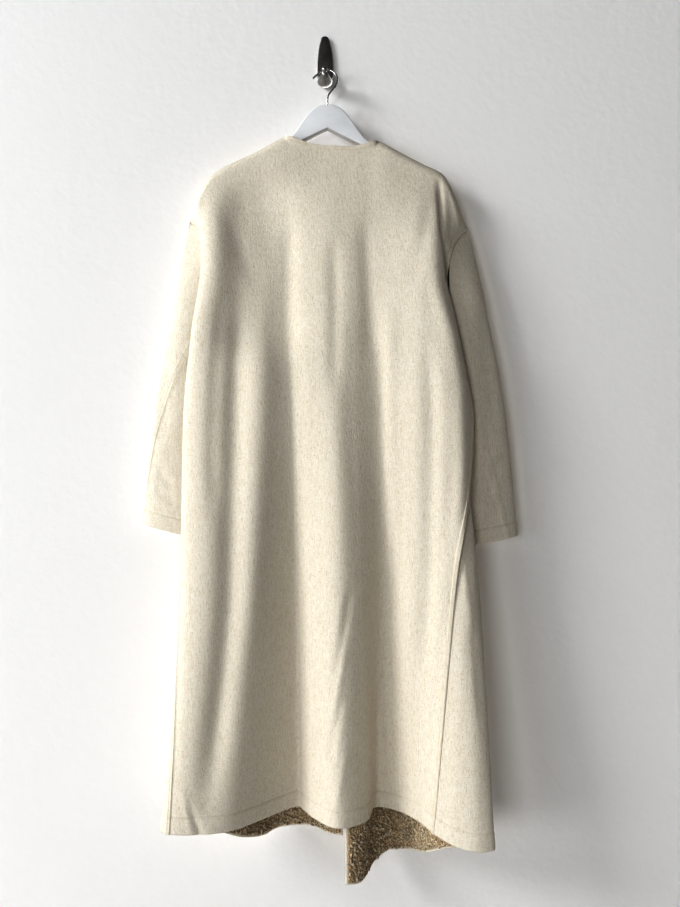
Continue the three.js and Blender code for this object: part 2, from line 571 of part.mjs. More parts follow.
function buildCoat() {
  const back = panelGrid(backPanel);
  const left = panelGrid(leftPanel);
  const right = panelGrid(rightPanel);
  const sleeveLeft = sleeveGrid(ARMHOLES.left, SLEEVES.left);
  const sleeveRight = sleeveGrid(ARMHOLES.right, SLEEVES.right);
  const n = {
    back: gridNormals(back, false, true),
    left: gridNormals(left, false, false),
    right: gridNormals(right, false, true),
    sleeveLeft: gridNormals(sleeveLeft, true, true),
    sleeveRight: gridNormals(sleeveRight, true, false),
  };
  const lastColumn = n.back.length - 1;
  for (let row = ARMPIT_ROW + 1; row <= ROWS; row += 1) {
    shareNormal(n.back[0][row], n.left[0][row]);
    shareNormal(n.back[lastColumn][row], n.right[0][row]);
  }
  const ring = ringAngles().length;
  for (let row = 1; row < ARMPIT_ROW; row += 1) {
    shareNormal(n.back[0][row], n.sleeveLeft[row][0]);
    shareNormal(n.left[0][row], n.sleeveLeft[ring - row][0]);
    shareNormal(n.back[lastColumn][row], n.sleeveRight[row][0]);
    shareNormal(n.right[0][row], n.sleeveRight[ring - row][0]);
  }
  for (const row of [0, ARMPIT_ROW]) {
    shareNormal(n.back[0][row], n.left[0][row], n.sleeveLeft[row][0]);
    shareNormal(n.back[lastColumn][row], n.right[0][row], n.sleeveRight[row][0]);
  }
  squareShoulder(back, n.back);
  squareShoulder(left, n.left);
  squareShoulder(right, n.right);

  const seam = SEAM_GAP / 2;
  const pieces = [];
  const panels = [
    { name: 'back', panel: backPanel, grid: back, normals: n.back },
    { name: 'front_left', panel: leftPanel, grid: left, normals: n.left },
    { name: 'front_right', panel: rightPanel, grid: right, normals: n.right },
  ];
  for (const { name, panel, grid, normals } of panels) {
    // both layers stay on their own side of the shoulder seam
    const limitY = panel.isFront ? RIDGE_Y + seam : RIDGE_Y - seam;
    const beyond = panel.isFront ? Math.max : Math.min;
    const keep = (point, row) => {
      if (row < RIDGE_ROWS) point.y = beyond(point.y, limitY);
      return point;
    };
    const wool = trimGrid(grid, normals, { first: seam, last: panel.isFront ? 0 : seam, top: seam });
    const pileDepth = (i, j) => {
      const isArmhole = j <= ARMPIT_ROW && (i === 0 || (i === grid.length - 1 && !panel.isFront));
      return WOOL + LAYER_GAP + (isArmhole ? ARMHOLE_EASE : 0);
    };
    const woolInside = insetGrid(wool, normals, () => WOOL, keep);
    const pile = insetGrid(wool, normals, pileDepth, keep);
    const pileInside = insetGrid(wool, normals, (i, j) => pileDepth(i, j) + LINING, keep);
    shortenLining([pile, pileInside], panel.isFront);
    pieces.push(namedMesh(name, wallGeometry(wool, woolInside, false, panel.turned), woolMaterial));
    pieces.push(namedMesh(`lining_${name}`, wallGeometry(pile, pileInside, false, panel.turned),
      pileMaterial));
  }
  const sleeves = [
    { name: 'sleeve_left', side: -1, grid: sleeveLeft, normals: n.sleeveLeft, turned: true },
    { name: 'sleeve_right', side: 1, grid: sleeveRight, normals: n.sleeveRight, turned: false },
  ];
  for (const { name, side, grid, normals, turned } of sleeves) {
    const away = new THREE.Vector3(side * UNDERARM_AWAY.outward, UNDERARM_AWAY.y, UNDERARM_AWAY.z);
    const wool = grid.map((line) => line.map((point) => point.clone()));
    wool.forEach((line, i) => {
      const toUnderarm = 1 - Math.abs(i - ARMPIT_ROW) / ARMPIT_ROW;
      line[0].addScaledVector(grid[i][3].clone().sub(grid[i][0]).normalize(), SEAM_GAP);
      line[0].addScaledVector(away, UNDERARM_GAP * toUnderarm ** 3);
    });
    pieces.push(namedMesh(name, wallGeometry(wool, insetGrid(wool, normals, () => WOOL), true, turned),
      woolMaterial));
  }
  return pieces;
}

// ---------------------------------------------------------------- hanger and hooks

// Turns a shape drawn in x and z into a plate of a given thickness, its faces square to y.
function plateGeometry(shape, thick, bevel, backY) {
  const geometry = new THREE.ExtrudeGeometry(shape, {
    depth: thick - 2 * bevel, bevelThickness: bevel, bevelSize: bevel, bevelOffset: -bevel,
    bevelSegments: 2, curveSegments: 6, steps: 1,
  });
  geometry.rotateX(Math.PI / 2);
  geometry.translate(0, backY - bevel, 0);
  return geometry;
}

function buildHanger() {
  const end = HANGER_HALF;
  const crest = HANGER_TOP.map(([x, z]) => new THREE.Vector2(x, z));
  crest.push(new THREE.Vector2(end - HANGER_CORNER, hangerTopZ(end - HANGER_CORNER)));
  const before = new THREE.Vector2(-HANGER_TOP[1][0], HANGER_TOP[1][1]);
  const half = new THREE.SplineCurve([before, ...crest])
    .getPoints(HANGER_CREST_POINTS).filter((point) => point.x > 0.5);
  const tipZ = hangerTopZ(end) - HANGER_TIP_HEIGHT;
  const cut = HANGER_CORNER;
  const tip = [[end, hangerTopZ(end) - cut], [end, tipZ + cut], [end - cut, tipZ]];
  const underHalf = [...tip, ...HANGER_UNDER].map(([x, z]) => new THREE.Vector2(x, z));
  const mirror = (points) => points.map((p) => new THREE.Vector2(-p.x, p.y)).reverse();
  const apex = new THREE.Vector2(0, HANGER_APEX_Z);
  const top = new THREE.Vector2(0, HANGER_TOP[0][1]);
  const shape = new THREE.Shape([top, ...half, ...underHalf, apex, ...mirror(underHalf), ...mirror(half)]);
  const geometry = plateGeometry(shape, HANGER_THICK, HANGER_BEVEL, HANGER_Y + HANGER_THICK / 2);
  return namedMesh('hanger', geometry, paintMaterial);
}

function buildWire() {
  const line = new THREE.CatmullRomCurve3(WIRE_LINE.map(([x, z]) => new THREE.Vector3(x, HANGER_Y, z)));
  const section = new THREE.Shape();
  for (let i = 0; i <= WIRE_SIDES; i += 1) {
    const angle = (2 * Math.PI * i) / WIRE_SIDES;
    const method = i === 0 ? 'moveTo' : 'lineTo';
    section[method](WIRE_RADIUS * Math.cos(angle), WIRE_RADIUS * Math.sin(angle));
  }
  const geometry = new THREE.ExtrudeGeometry(section,
    { steps: WIRE_STEPS, bevelEnabled: false, extrudePath: line });
  return namedMesh('hanger_hook', geometry, chromeMaterial);
}

// A closed body through rings of points, its ends closed by fans.
function loftGeometry(rings) {
  const sides = rings[0].length;
  const middle = (ring) => ring.reduce((sum, p) => sum.add(p), new THREE.Vector3()).divideScalar(sides);
  const points = [...rings.flat(), middle(rings[0]), middle(rings[rings.length - 1])];
  const indices = [];
  const start = points.length - 2;
  const finish = points.length - 1;
  for (let i = 0; i < sides; i += 1) {
    const next = (i + 1) % sides;
    for (let k = 0; k < rings.length - 1; k += 1) {
      const a = k * sides;
      const b = a + sides;
      indices.push(a + i, a + next, b + i, a + next, b + next, b + i);
    }
    const end = (rings.length - 1) * sides;
    indices.push(start, next, i, finish, end + i, end + next);
  }
  const geometry = new THREE.BufferGeometry();
  geometry.setAttribute('position',
    new THREE.Float32BufferAttribute(points.flatMap((p) => [p.x, p.y, p.z]), 3));
  geometry.setIndex(indices);
  return geometry;
}

function plateShape() {
  const { topZ, bottomZ, topHalf, bottomHalf, shoulder, sideZ, belly } = PLATE;
  const shape = new THREE.Shape();
  shape.moveTo(-bottomHalf, bottomZ + shoulder);
  shape.quadraticCurveTo(-bottomHalf, sideZ, -topHalf, topZ - topHalf);
  shape.absarc(0, topZ - topHalf, topHalf, Math.PI, 0, true);
  shape.quadraticCurveTo(bottomHalf, sideZ, bottomHalf, bottomZ + shoulder);
  shape.quadraticCurveTo(bottomHalf, bottomZ, 0, bottomZ - belly);
  shape.quadraticCurveTo(-bottomHalf, bottomZ, -bottomHalf, bottomZ + shoulder);
  return shape;
}

async function buildWallHook() {
  const wasm = await Module();
  wasm.setup();
  const solid = (geometry) => {
    const bare = geometry.clone();
    bare.deleteAttribute('normal');
    bare.deleteAttribute('uv');
    const merged = mergeVertices(bare, SAME_POINT);
    return new wasm.Manifold(new wasm.Mesh({ numProp: 3,
      vertProperties: new Float32Array(merged.getAttribute('position').array),
      triVerts: new Uint32Array(merged.getIndex().array) }));
  };
  const plate = solid(plateGeometry(plateShape(), PLATE.thick, PLATE.bevel, 0));
  const rings = HORN.map((ring) => Array.from({ length: HORN_SIDES }, (_, i) => {
    const angle = (2 * Math.PI * i) / HORN_SIDES;
    const lift = Math.sin(angle) > 0 ? ring.up : ring.down;
    return new THREE.Vector3(ring.half * Math.cos(angle), ring.y, ring.z + lift * Math.sin(angle));
  }));
  const horn = solid(loftGeometry(rings));
  const ballGeometry = new THREE.SphereGeometry(HORN_BALL.radius, HORN_SIDES, BALL_RINGS);
  ballGeometry.translate(0, HORN_BALL.y, HORN_BALL.z);
  const mesh = plate.add(horn).add(solid(ballGeometry)).getMesh();
  const geometry = new THREE.BufferGeometry();
  geometry.setAttribute('position', new THREE.BufferAttribute(mesh.vertProperties, 3));
  geometry.setIndex(new THREE.BufferAttribute(mesh.triVerts, 1));
  geometry.computeVertexNormals();
  return namedMesh('wall_hook', geometry, nickelMaterial);
}

const hung = new THREE.Group();
hung.position.x = HANG_X;
hung.add(...buildCoat(), buildHanger(), buildWire());

const coat = new THREE.Group();
coat.add(hung, await buildWallHook());

export default coat;
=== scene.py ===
"""A long collarless wool coat with a pile lining, hung on a hanger from a wall hook."""

import math

import bmesh
import bpy
import numpy as np
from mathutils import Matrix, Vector, noise


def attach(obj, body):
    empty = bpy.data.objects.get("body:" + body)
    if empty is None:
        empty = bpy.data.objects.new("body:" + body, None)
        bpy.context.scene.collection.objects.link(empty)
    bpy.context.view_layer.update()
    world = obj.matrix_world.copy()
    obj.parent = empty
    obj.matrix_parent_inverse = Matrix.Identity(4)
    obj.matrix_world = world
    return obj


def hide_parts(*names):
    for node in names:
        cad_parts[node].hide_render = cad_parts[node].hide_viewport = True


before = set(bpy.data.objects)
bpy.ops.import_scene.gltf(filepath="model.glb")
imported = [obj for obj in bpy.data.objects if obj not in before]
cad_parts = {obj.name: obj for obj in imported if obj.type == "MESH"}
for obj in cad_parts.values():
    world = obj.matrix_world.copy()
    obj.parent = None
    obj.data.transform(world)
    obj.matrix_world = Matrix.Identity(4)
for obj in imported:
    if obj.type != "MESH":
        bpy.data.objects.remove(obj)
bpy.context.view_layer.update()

# ------------------------------------------------------------------ sizes, in millimetres

MM = 0.001
WOOL = 2.0
LINING = 3.5
LAYER_GAP = 0.35
LINING_INSET = 4.0
LINING_START = 3.0
HANG_X = 5.0
HANGER_Y = -32.0
RIDGE_Y = -32.0
HANGER_THICK = 16.0
HANGER_HALF = 200.0
SHOULDER_LIFT = 9.4
SHOULDER_DROP = {"start": HANGER_HALF + 4, "rate": 0.68, "power": 1.27}

YOKE_Z = -380.0
ARMPIT_Z = -505.0
WAIST_Z = -640.0
HIP_Z = -900.0

ARMHOLES = {
    "left": {"side": -1, "shoulder": (-241, -303), "inner_x": -213, "turn": 14, "underarm": (-216, -505)},
    "right": {"side": 1, "shoulder": (246, -317), "inner_x": 208, "turn": 7, "underarm": (222, -512)},
}
ARMHOLE_BACK_Y = -60.0
ARMHOLE_FRONT_Y = -19.0
UPPER_TURN_Y = 6.0
LOWER_TURN = 2.2
NECK = {"left_x": -76, "right_x": 90, "low_x": 42, "low_z": -176.5, "back_y": -52, "front_y": -14.2,
        "front_drop": 90, "turn": 6, "roundness": 0.94}
BACK_HUMP = {"out": -20, "height": 18}
FRONT_HUMP = {"out": 18, "height": 18}


def fold(name, top, hem, yoke=None, armpit=None, waist=None, hip=None):
    """One fold's line down a panel: x on the shoulder line, then (x, y) at each level."""
    return {"fold": name, "top": top, "yoke": yoke, "armpit": armpit, "waist": waist, "hip": hip,
            "hem": hem}


BACK_FOLDS = [
    fold("left seam", -241, (-258, -135, -1320), None, (-216, -60), (-238, -76), (-242, -86)),
    fold("left edge", -229, (-249, -138, -1320), (-215, -67), (-231, -72), (-241, -84), (-243, -94)),
    fold("left brow", -214, (-235, -140, -1320), (-209, -78), (-224, -85), (-232, -92), (-234, -105)),
    fold("left crest", -198, (-208, -139, -1320), (-188, -87), None, (-206, -100), (-203, -115)),
    fold("left roll", -122, (-157, -127, -1320), (-112, -80), None, (-110, -95), (-124, -108)),
    fold("left valley", -76, (-50, -42, -1320), (-72, -72), None, (-58, -77), (-54, -64)),
    fold("left neck", -69, (-41, -54, -1320), (-62, -72), None, (-48, -80), (-44, -71)),
    fold("ridge flank", -26, (-22, -84, -1320), (-34, -75), None, (-27, -89), (-22, -90)),
    fold("centre ridge", 10, (18, -119, -1320), (8, -79), None, (15, -99), (22, -110)),
    fold("ridge edge", 46, (66, -94, -1320), (42, -78), None, (45, -92), (56, -98)),
    fold("right valley", 83, (83, -46, -1320), (70, -75), None, (90, -76), (92, -67)),
    fold("valley foot", 90, (105, -49, -1320), (92, -76), None, (106, -79), (111, -68)),
    fold("right rise", 126, (128, -65, -1320), (126, -83), None, (133, -93), (138, -91)),
    fold("right crest", 165, (145, -85, -1320), (160, -91), None, (168, -106), (163, -104)),
    fold("right brow", 201, (157, -103, -1320), (184, -90), None, (204, -111), (184, -113)),
    fold("right edge", 217, (165, -117, -1321), (199, -77), (214, -88), (230, -99), (198, -118)),
    fold("right groove", 233, (170, -126, -1321), (203, -66), (222, -74), (241, -88), (206, -119)),
    fold("right seam", 246, (174, -134, -1322), None, (222, -60), (246, -77), (214, -119)),
]
FRONT_LEFT_FOLDS = [
    dict(BACK_FOLDS[0], fold="side seam"),
    fold("wrap", -229, (-270, -124, -1321), (-206, -12), (-206, -57), (-224, -70), (-235, -77)),
    fold("tuck", -214, (-258, -109, -1323), (-197, -10), (-194, -52), (-202, -70), (-218, -75)),
    fold("inside bend", -198, (-225, -104, -1328), (-184, -9), (-185, -42), (-184, -62), (-198, -69)),
    fold("side", -162, (-180, -100, -1334), (-164, -8.5), (-177, -22), (-175, -40), (-180, -50)),
    fold("front corner", -122, (-146, -78, -1354), (-136, -8.5), (-155, -10), (-162, -17), (-163, -26)),
    fold("left flat", -97, (-113, -38, -1371), (-104, -9), None, (-124, -9), (-125, -11)),
    fold("neck corner", -76, (-95, -19, -1370), (-82, -9), None, (-95, -9), (-95, -9.5)),
    fold("wall fold", -69, (-82, -12, -1369), (-70, -9.5), None, (-80, -9), (-81, -9)),
    fold("middle flat", -33, (-29, -13, -1366), (-35, -10.5), None, (-37, -10), (-35, -11)),
    fold("inner flat", -6, (3, -42, -1365), (-7, -11.5), None, (-7, -12), (-2, -20)),
    fold("front edge", 16, (27, -46, -1367), (16, -12), None, (17, -13), (22, -25)),
]
FRONT_RIGHT_FOLDS = [
    dict(BACK_FOLDS[-1], fold="side seam"),
    fold("outer flap", 233, (205, -156, -1330), (202, -12), (213, -57), (240, -66), (229, -119)),
    fold("flap crest", 217, (241, -167, -1333), (195, -10), (203, -56), (227, -65), (244, -112)),
    fold("flap edge", 201, (267, -160, -1332), (185, -9.5), (195, -54), (210, -66), (251, -97)),
    fold("return", 180, (254, -143, -1333), (172, -9), (187, -38), (192, -63), (232, -84)),
    fold("inside bend", 158, (226, -137, -1338), (155, -8.5), (177, -19), (180, -42), (199, -74)),
    fold("side", 134, (197, -129, -1346), (134, -8.5), (157, -10), (168, -19), (178, -47)),
    fold("dive", 110, (168, -88, -1374), (111, -9), None, (145, -10), (157, -21)),
    fold("neck corner", 90, (144, -40, -1395), (95, -9.5), None, (123, -9.5), (137, -14)),
    fold("wall fold", 83, (129, -23, -1403), (84, -9.5), None, (108, -9.5), (122, -12)),
    fold("inner fold", 62, (107, -20, -1406), (63, -10.5), None, (80, -10.5), (96, -15)),
    fold("edge rise", 44, (76, -38, -1421), (45, -11.5), None, (55, -12.5), (66, -26)),
    fold("edge curl", 33, (55, -77, -1431), (34, -12), None, (38, -14), (46, -42)),
    fold("front edge", 24, (31, -89, -1428), (25, -12), None, (26, -14), (29, -45)),
]

SLEEVES = {
    "left": {"outer": [(-268, -441), (-301, -627), (-319.5, -829)], "cuff_inner": (-199, -857)},
    "right": {"outer": [(275, -446), (308, -627), (330, -849)], "cuff_inner": (207, -872)},
}
SLEEVE_Y = -40.0
SLEEVE_HALF_DEPTH = (22.0, 23.0, 25.0)
SLEEVE_START = {"outward": 6, "down": -60}
SLEEVE_CUFF_PULL = 110.0
SLEEVE_INNER_LAG = 1.2
ARMHOLE_FADE = 5

HANGER_TOP = [(0, -99), (20, -103.5), (39, -122), (54, -143.5), (68, -160), (84, -169.2)]
HANGER_SLOPE = 0.52
HANGER_APEX_Z = -140.0
HANGER_TIP_HEIGHT = 17.0
HANGER_UNDER = (55, -167.5)
HANGER_CORNER = 4.0
HANGER_BEVEL = 2.5
SHARP_ANGLE = 38

WIRE_RADIUS = 1.8
WIRE_SIDES = 16
WIRE_STEPS = 150
WIRE_TIP = 0.45
WIRE_LINE = [(-26, -51.5), (-19, -45), (-11, -39), (-3, -35.8), (5, -36.6), (12, -41.5), (16.6, -49),
             (17, -57), (13, -66), (6, -74), (1.6, -81), (0, -89), (0, -98.6)]

PLATE = {"top_z": 38.5, "bottom_z": -40, "top_half": 7.5, "bottom_half": 15, "thick": 6, "bevel": 2,
         "shoulder": 10, "side_z": 8, "belly": 3}
# the horn's sections: distance from the wall, middle height, half width, height above and below
HORN = [(-3, -42, 13.5, 11, 11), (-12, -45, 13.5, 7, 12), (-20, -47.5, 12, 6.5, 10.5),
        (-28, -47.5, 9.5, 8, 8.5), (-35, -45.5, 6.5, 6.2, 6), (-39, -43.5, 4, 4, 4)]
HORN_SIDES = 32
HORN_STEPS = 26
HORN_BALL = {"y": -43.5, "z": -41, "radius": 5.2}

# finish of the cloth
HEM_DEPTH = 27.0
CUFF_DEPTH = 25.0
SEAM_BAND = 7.5
SEAM_RAISE = 1.5
SEAM_EDGE = 1.6
STITCH_PITCH = 3.4
STITCH_LENGTH = 0.4 * STITCH_PITCH
STITCH_RADIUS = 0.45
STITCH_INSET = 1.4
STITCH_LIFT = 0.1
NECK_STITCH = 7.0
PUCKER_REACH = 14.0
CREASE_END = 0.22  # share of a crease's length over which each of its ends fades out
PILE_DEPTH = {"back": 120.0, "front": 190.0}
PILE_FADE = {"hem": 40.0, "neck": 30.0}
PILE_LEAST = 0.02
# rows down to the armpit, to the hem and through it, and the width of a column
WOOL_GRID = {"rows": (58, 104, 14), "column": 4.6}
LINING_GRID = {"rows": (30, 60, 6), "column": 8.0}
SLEEVE_COLUMNS = 120
SLEEVE_STITCH_OFFSET = 2.9
SLEEVE_CUFF_SHARE = 0.06  # share of a sleeve's length that its close rings at the cuff take up
SHOULDER_CROWDING = 1.8
HEM_ROWS_REACH = 1.3
SLEEVE_CROWDING = 1.15
SLEEVE_ROWS = {"long": 90, "cuff": 20}
FADE_IN = {"panel": 4.0, "sleeve": 3.0}
# soft waves in the cloth: rise, size, stretch down the cloth, and seed
PANEL_WAVES = [(0.6, 50, 6.0, 1.7), (0.12, 16, 3.0, 9.1)]
SLEEVE_WAVES = [(0.7, 45, 4.0, 3.9), (0.15, 15, 2.0, 7.7)]
PANEL_PUCKER = (0.5, 7, 1.2, 4.3)
SLEEVE_PUCKER = (0.5, 7, 1.2, 2.3)
ARMHOLE_PUCKER = (0.5, 7, 1.2, 6.1)
SLEEVE_PUCKER_REACH = 12

# ------------------------------------------------------------------ the coat's lines


def lerp(a, b, t):
    return a + (b - a) * t


def clamp01(t):
    return min(1.0, max(0.0, t))


def smooth(t):
    t = np.clip(t, 0.0, 1.0)
    return t * t * (3 - 2 * t)


def through_heights(knots, z, axis):
    """A smooth curve through values at given heights that never swings past a value."""
    last = len(knots) - 1
    if z >= knots[0][0]:
        return knots[0][1][axis]
    if z <= knots[last][0]:
        return knots[last][1][axis]
    i = 0
    while z < knots[i + 1][0]:
        i += 1

    def slope(k):
        return (knots[k + 1][1][axis] - knots[k][1][axis]) / (knots[k + 1][0] - knots[k][0])

    def tangent(k):
        if k == 0:
            return 0.0
        if k == last:
            return slope(last - 1)
        before, after = slope(k - 1), slope(k)
        return 0.0 if before * after <= 0 else 2 * before * after / (before + after)

    span = knots[i + 1][0] - knots[i][0]
    t = (z - knots[i][0]) / span
    a, b = knots[i][1][axis], knots[i + 1][1][axis]
    ta, tb = tangent(i) * span, tangent(i + 1) * span
    return (a * (2 * t**3 - 3 * t**2 + 1) + ta * (t**3 - 2 * t**2 + t)
            + b * (3 * t**2 - 2 * t**3) + tb * (t**3 - t**2))


def hanger_top_z(x):
    far = abs(x)
    end = HANGER_TOP[-1]
    if far >= end[0]:
        return end[1] - (far - end[0]) * HANGER_SLOPE
    i = 0
    while far > HANGER_TOP[i + 1][0]:
        i += 1
    (x0, z0), (x1, z1) = HANGER_TOP[i], HANGER_TOP[i + 1]
    return lerp(z0, z1, (far - x0) / (x1 - x0))


def shoulder_z(x):
    end = HANGER_TOP[-1]
    straight = end[1] + SHOULDER_LIFT - (abs(x) - end[0]) * HANGER_SLOPE
    past = max(0.0, abs(x) - SHOULDER_DROP["start"])
    return straight - SHOULDER_DROP["rate"] * past ** SHOULDER_DROP["power"]


def neck_back_z(x):
    end_x = NECK["left_x"] if x < NECK["low_x"] else NECK["right_x"]
    share = (x - NECK["low_x"]) / (end_x - NECK["low_x"])
    return NECK["low_z"] + (shoulder_z(end_x) - NECK["low_z"]) * share**3


def neck_front_z(x, neck_x, edge_x):
    t = clamp01((x - neck_x) / (edge_x - neck_x))
    round_part = math.sqrt(1 - t * t) * NECK["roundness"] + (1 - t) * (1 - NECK["roundness"])
    return shoulder_z(neck_x) - NECK["front_drop"] * (1 - round_part)


def armhole_point(armhole, t, is_front):
    (sx, sz), (ux, uz) = armhole["shoulder"], armhole["underarm"]
    inward = 1 - (1 - t) ** armhole["turn"]
    x = lerp(sx, armhole["inner_x"], inward) + (ux - armhole["inner_x"]) * t**4
    face_y = ARMHOLE_FRONT_Y if is_front else ARMHOLE_BACK_Y
    outward = 1 - (1 - t) ** UPPER_TURN_Y
    y = lerp(RIDGE_Y, face_y, outward) + (ARMHOLE_BACK_Y - face_y) * t**LOWER_TURN
    return (x, y, lerp(sz, uz, t))


def back_top(x):
    on_neck = clamp01(min(x - NECK["left_x"], NECK["right_x"] - x) / NECK["turn"])
    z = neck_back_z(x) if on_neck > 0 else shoulder_z(x)
    return x, lerp(RIDGE_Y, NECK["back_y"], on_neck), z, 1 - on_neck


def front_top(neck_x, edge_x):
    def top(x):
        inward = (x - neck_x) * math.copysign(1, edge_x - neck_x)
        on_neck = clamp01(inward / NECK["turn"])
        z = neck_front_z(x, neck_x, edge_x) if on_neck > 0 else shoulder_z(x)
        return x, lerp(RIDGE_Y, NECK["front_y"], on_neck), z, 1 - on_neck
    return top


PANELS = {
    "back": {"folds": BACK_FOLDS, "front": False, "flip": True, "hump": BACK_HUMP, "top": back_top,
             "armholes": {"left seam": ARMHOLES["left"], "right seam": ARMHOLES["right"]}},
    "front_left": {"folds": FRONT_LEFT_FOLDS, "front": True, "flip": False, "hump": FRONT_HUMP,
                   "top": front_top(NECK["left_x"], FRONT_LEFT_FOLDS[-1]["top"]),
                   "armholes": {"side seam": ARMHOLES["left"]}},
    "front_right": {"folds": FRONT_RIGHT_FOLDS, "front": True, "flip": True, "hump": FRONT_HUMP,
                    "top": front_top(NECK["right_x"], FRONT_RIGHT_FOLDS[-1]["top"]),
                    "armholes": {"side seam": ARMHOLES["right"]}},
}


def fold_point(line, upper, lower, panel):
    """A fold's point: upper runs 0-1 from the shoulder to the armpit, then lower 0-1 to the hem."""
    hem_z = line["hem"][2]
    armhole = panel["armholes"].get(line["fold"])
    if armhole and lower == 0:
        return armhole_point(armhole, upper, panel["front"])
    seam_z = armhole["underarm"][1] if armhole else ARMPIT_Z
    top_x, top_y, top_z, on_shoulder = panel["top"](line["top"])
    z = lerp(top_z, ARMPIT_Z, upper) if lower == 0 else lerp(seam_z, hem_z, lower)
    levels = (("yoke", YOKE_Z), ("armpit", ARMPIT_Z), ("waist", WAIST_Z), ("hip", HIP_Z), ("hem", hem_z))
    knots = [(level, line[name]) for name, level in levels if line[name]]
    if armhole:
        knots[0] = (seam_z, knots[0][1])
    x = through_heights(knots, z, 0)
    y = through_heights(knots, z, 1)
    if z > YOKE_Z:
        down = clamp01((top_z - z) / (top_z - YOKE_Z))
        yoke = knots[0][1]
        hump = panel["hump"]["out"] * on_shoulder
        near = clamp01((top_z - z) / panel["hump"]["height"])
        x = lerp(top_x, yoke[0], 1 - (1 - down) ** 2)
        y = top_y + hump * math.sqrt(1 - (1 - near) ** 2) + (yoke[1] - top_y - hump) * float(smooth(down))
    return (x, y, z)


def across_folds(points, places):
    """A centripetal Catmull-Rom curve through a row of fold points, read at places across it."""
    p = np.asarray(points, float)
    p = np.vstack([2 * p[0] - p[1], p, 2 * p[-1] - p[-2]])
    i = np.clip(np.floor(places).astype(int), 0, len(points) - 2)
    w = (places - i)[:, None]
    p0, p1, p2, p3 = p[i], p[i + 1], p[i + 2], p[i + 3]
    d0 = np.sqrt(np.linalg.norm(p1 - p0, axis=1))[:, None]
    d1 = np.sqrt(np.linalg.norm(p2 - p1, axis=1))[:, None]
    d2 = np.sqrt(np.linalg.norm(p3 - p2, axis=1))[:, None]
    t1 = ((p1 - p0) / d0 - (p2 - p0) / (d0 + d1) + (p2 - p1) / d1) * d1
    t2 = ((p2 - p1) / d1 - (p3 - p1) / (d1 + d2) + (p3 - p2) / d2) * d1
    return p1 + t1 * w + (3 * (p2 - p1) - 2 * t1 - t2) * w**2 + (2 * (p1 - p2) + t1 + t2) * w**3


def row_shares(upper_rows, lower_rows, hem_rows):
    """Pairs (upper, lower) for the rows, crowded at the shoulder and through the hem."""
    rows = [((j / upper_rows) ** SHOULDER_CROWDING, 0.0) for j in range(upper_rows + 1)]
    hem_share = HEM_DEPTH * HEM_ROWS_REACH / (ARMPIT_Z - BACK_FOLDS[8]["hem"][2])
    rows += [(1.0, (1 - hem_share) * j / lower_rows) for j in range(1, lower_rows + 1)]
    rows += [(1.0, 1 - hem_share + hem_share * j / hem_rows) for j in range(1, hem_rows + 1)]
    return rows


def column_places(panel, width):
    """Places across the folds, about one for each width of cloth and closer beside the seams."""
    folds = panel["folds"]
    places = []
    for i in range(len(folds) - 1):
        gap = 0.0
        for level in ("waist", "hip", "hem"):
            a, b = folds[i][level], folds[i + 1][level]
            gap = max(gap, math.dist(a[:2], b[:2]))
        at_seam = i == 0 or (i == len(folds) - 2 and not panel["front"])
        count = max(9, round(gap / 2)) if at_seam else max(2, round(gap / width))
        places += [i + k / count for k in range(count)]
    return np.array(places + [len(folds) - 1.0])


def panel_points(panel, rows, places):
    grid = np.zeros((len(places), len(rows), 3))
    for j, (upper, lower) in enumerate(rows):
        grid[:, j] = across_folds([fold_point(f, upper, lower, panel) for f in panel["folds"]], places)
    near_top = np.array([upper <= 0.09 and lower == 0 for upper, lower in rows])
    limit = np.maximum if panel["front"] else np.minimum
    grid[:, near_top, 1] = limit(grid[:, near_top, 1], RIDGE_Y)
    return grid


def sleeve_points(armhole, sleeve, angles, rings):
    outer_line = [armhole["shoulder"]] + sleeve["outer"]
    outer_3d = [(x, 0.0, z) for x, z in outer_line]
    under = np.array([armhole["underarm"][0], 0.0, armhole["underarm"][1]])
    inner_end = np.array([sleeve["cuff_inner"][0], 0.0, sleeve["cuff_inner"][1]])
    start = np.array([armhole["side"] * SLEEVE_START["outward"], 0.0, SLEEVE_START["down"]])
    bezier = [under, under + start, inner_end + np.array([0, 0, SLEEVE_CUFF_PULL]), inner_end]
    grid = np.zeros((len(angles), len(rings), 3))
    for j, t in enumerate(rings):
        outer = across_folds(outer_3d, np.array([t * (len(outer_3d) - 1)]))[0]
        s = t**SLEEVE_INNER_LAG
        inner = ((1 - s) ** 3 * bezier[0] + 3 * (1 - s) ** 2 * s * bezier[1]
                 + 3 * (1 - s) * s * s * bezier[2] + s**3 * bezier[3])
        depth = np.interp(t, (0, 0.5, 1), SLEEVE_HALF_DEPTH)
        for i, angle in enumerate(angles):
            point = lerp(outer, inner, (1 - math.cos(angle)) / 2)
            point[1] = SLEEVE_Y - depth * math.sin(angle)
            grid[i, j] = point
    for i, angle in enumerate(angles):
        seam = armhole_point(armhole, (1 - math.cos(angle)) / 2, angle > math.pi)
        drift = np.array(seam) - grid[i, 0]
        grid[i] += drift * ((1 - np.array(rings)) ** ARMHOLE_FADE)[:, None]
    return grid


# ------------------------------------------------------------------ grids of cloth


def grid_normals(grid, flip, closed=False):
    if closed:
        across = np.roll(grid, -1, 0) - np.roll(grid, 1, 0)
    else:
        across = np.gradient(grid, axis=0)
    down = np.gradient(grid, axis=1)
    normals = np.cross(down, across) if flip else np.cross(across, down)
    return normals / np.maximum(np.linalg.norm(normals, axis=2, keepdims=True), 1e-9)


def distance_along(grid, axis):
    """How far each point lies along the cloth from the first one: across it (0) or down it (1)."""
    steps = np.linalg.norm(np.diff(grid, axis=axis), axis=2)
    return np.cumsum(np.insert(steps, 0, 0.0, axis=axis), axis=axis)


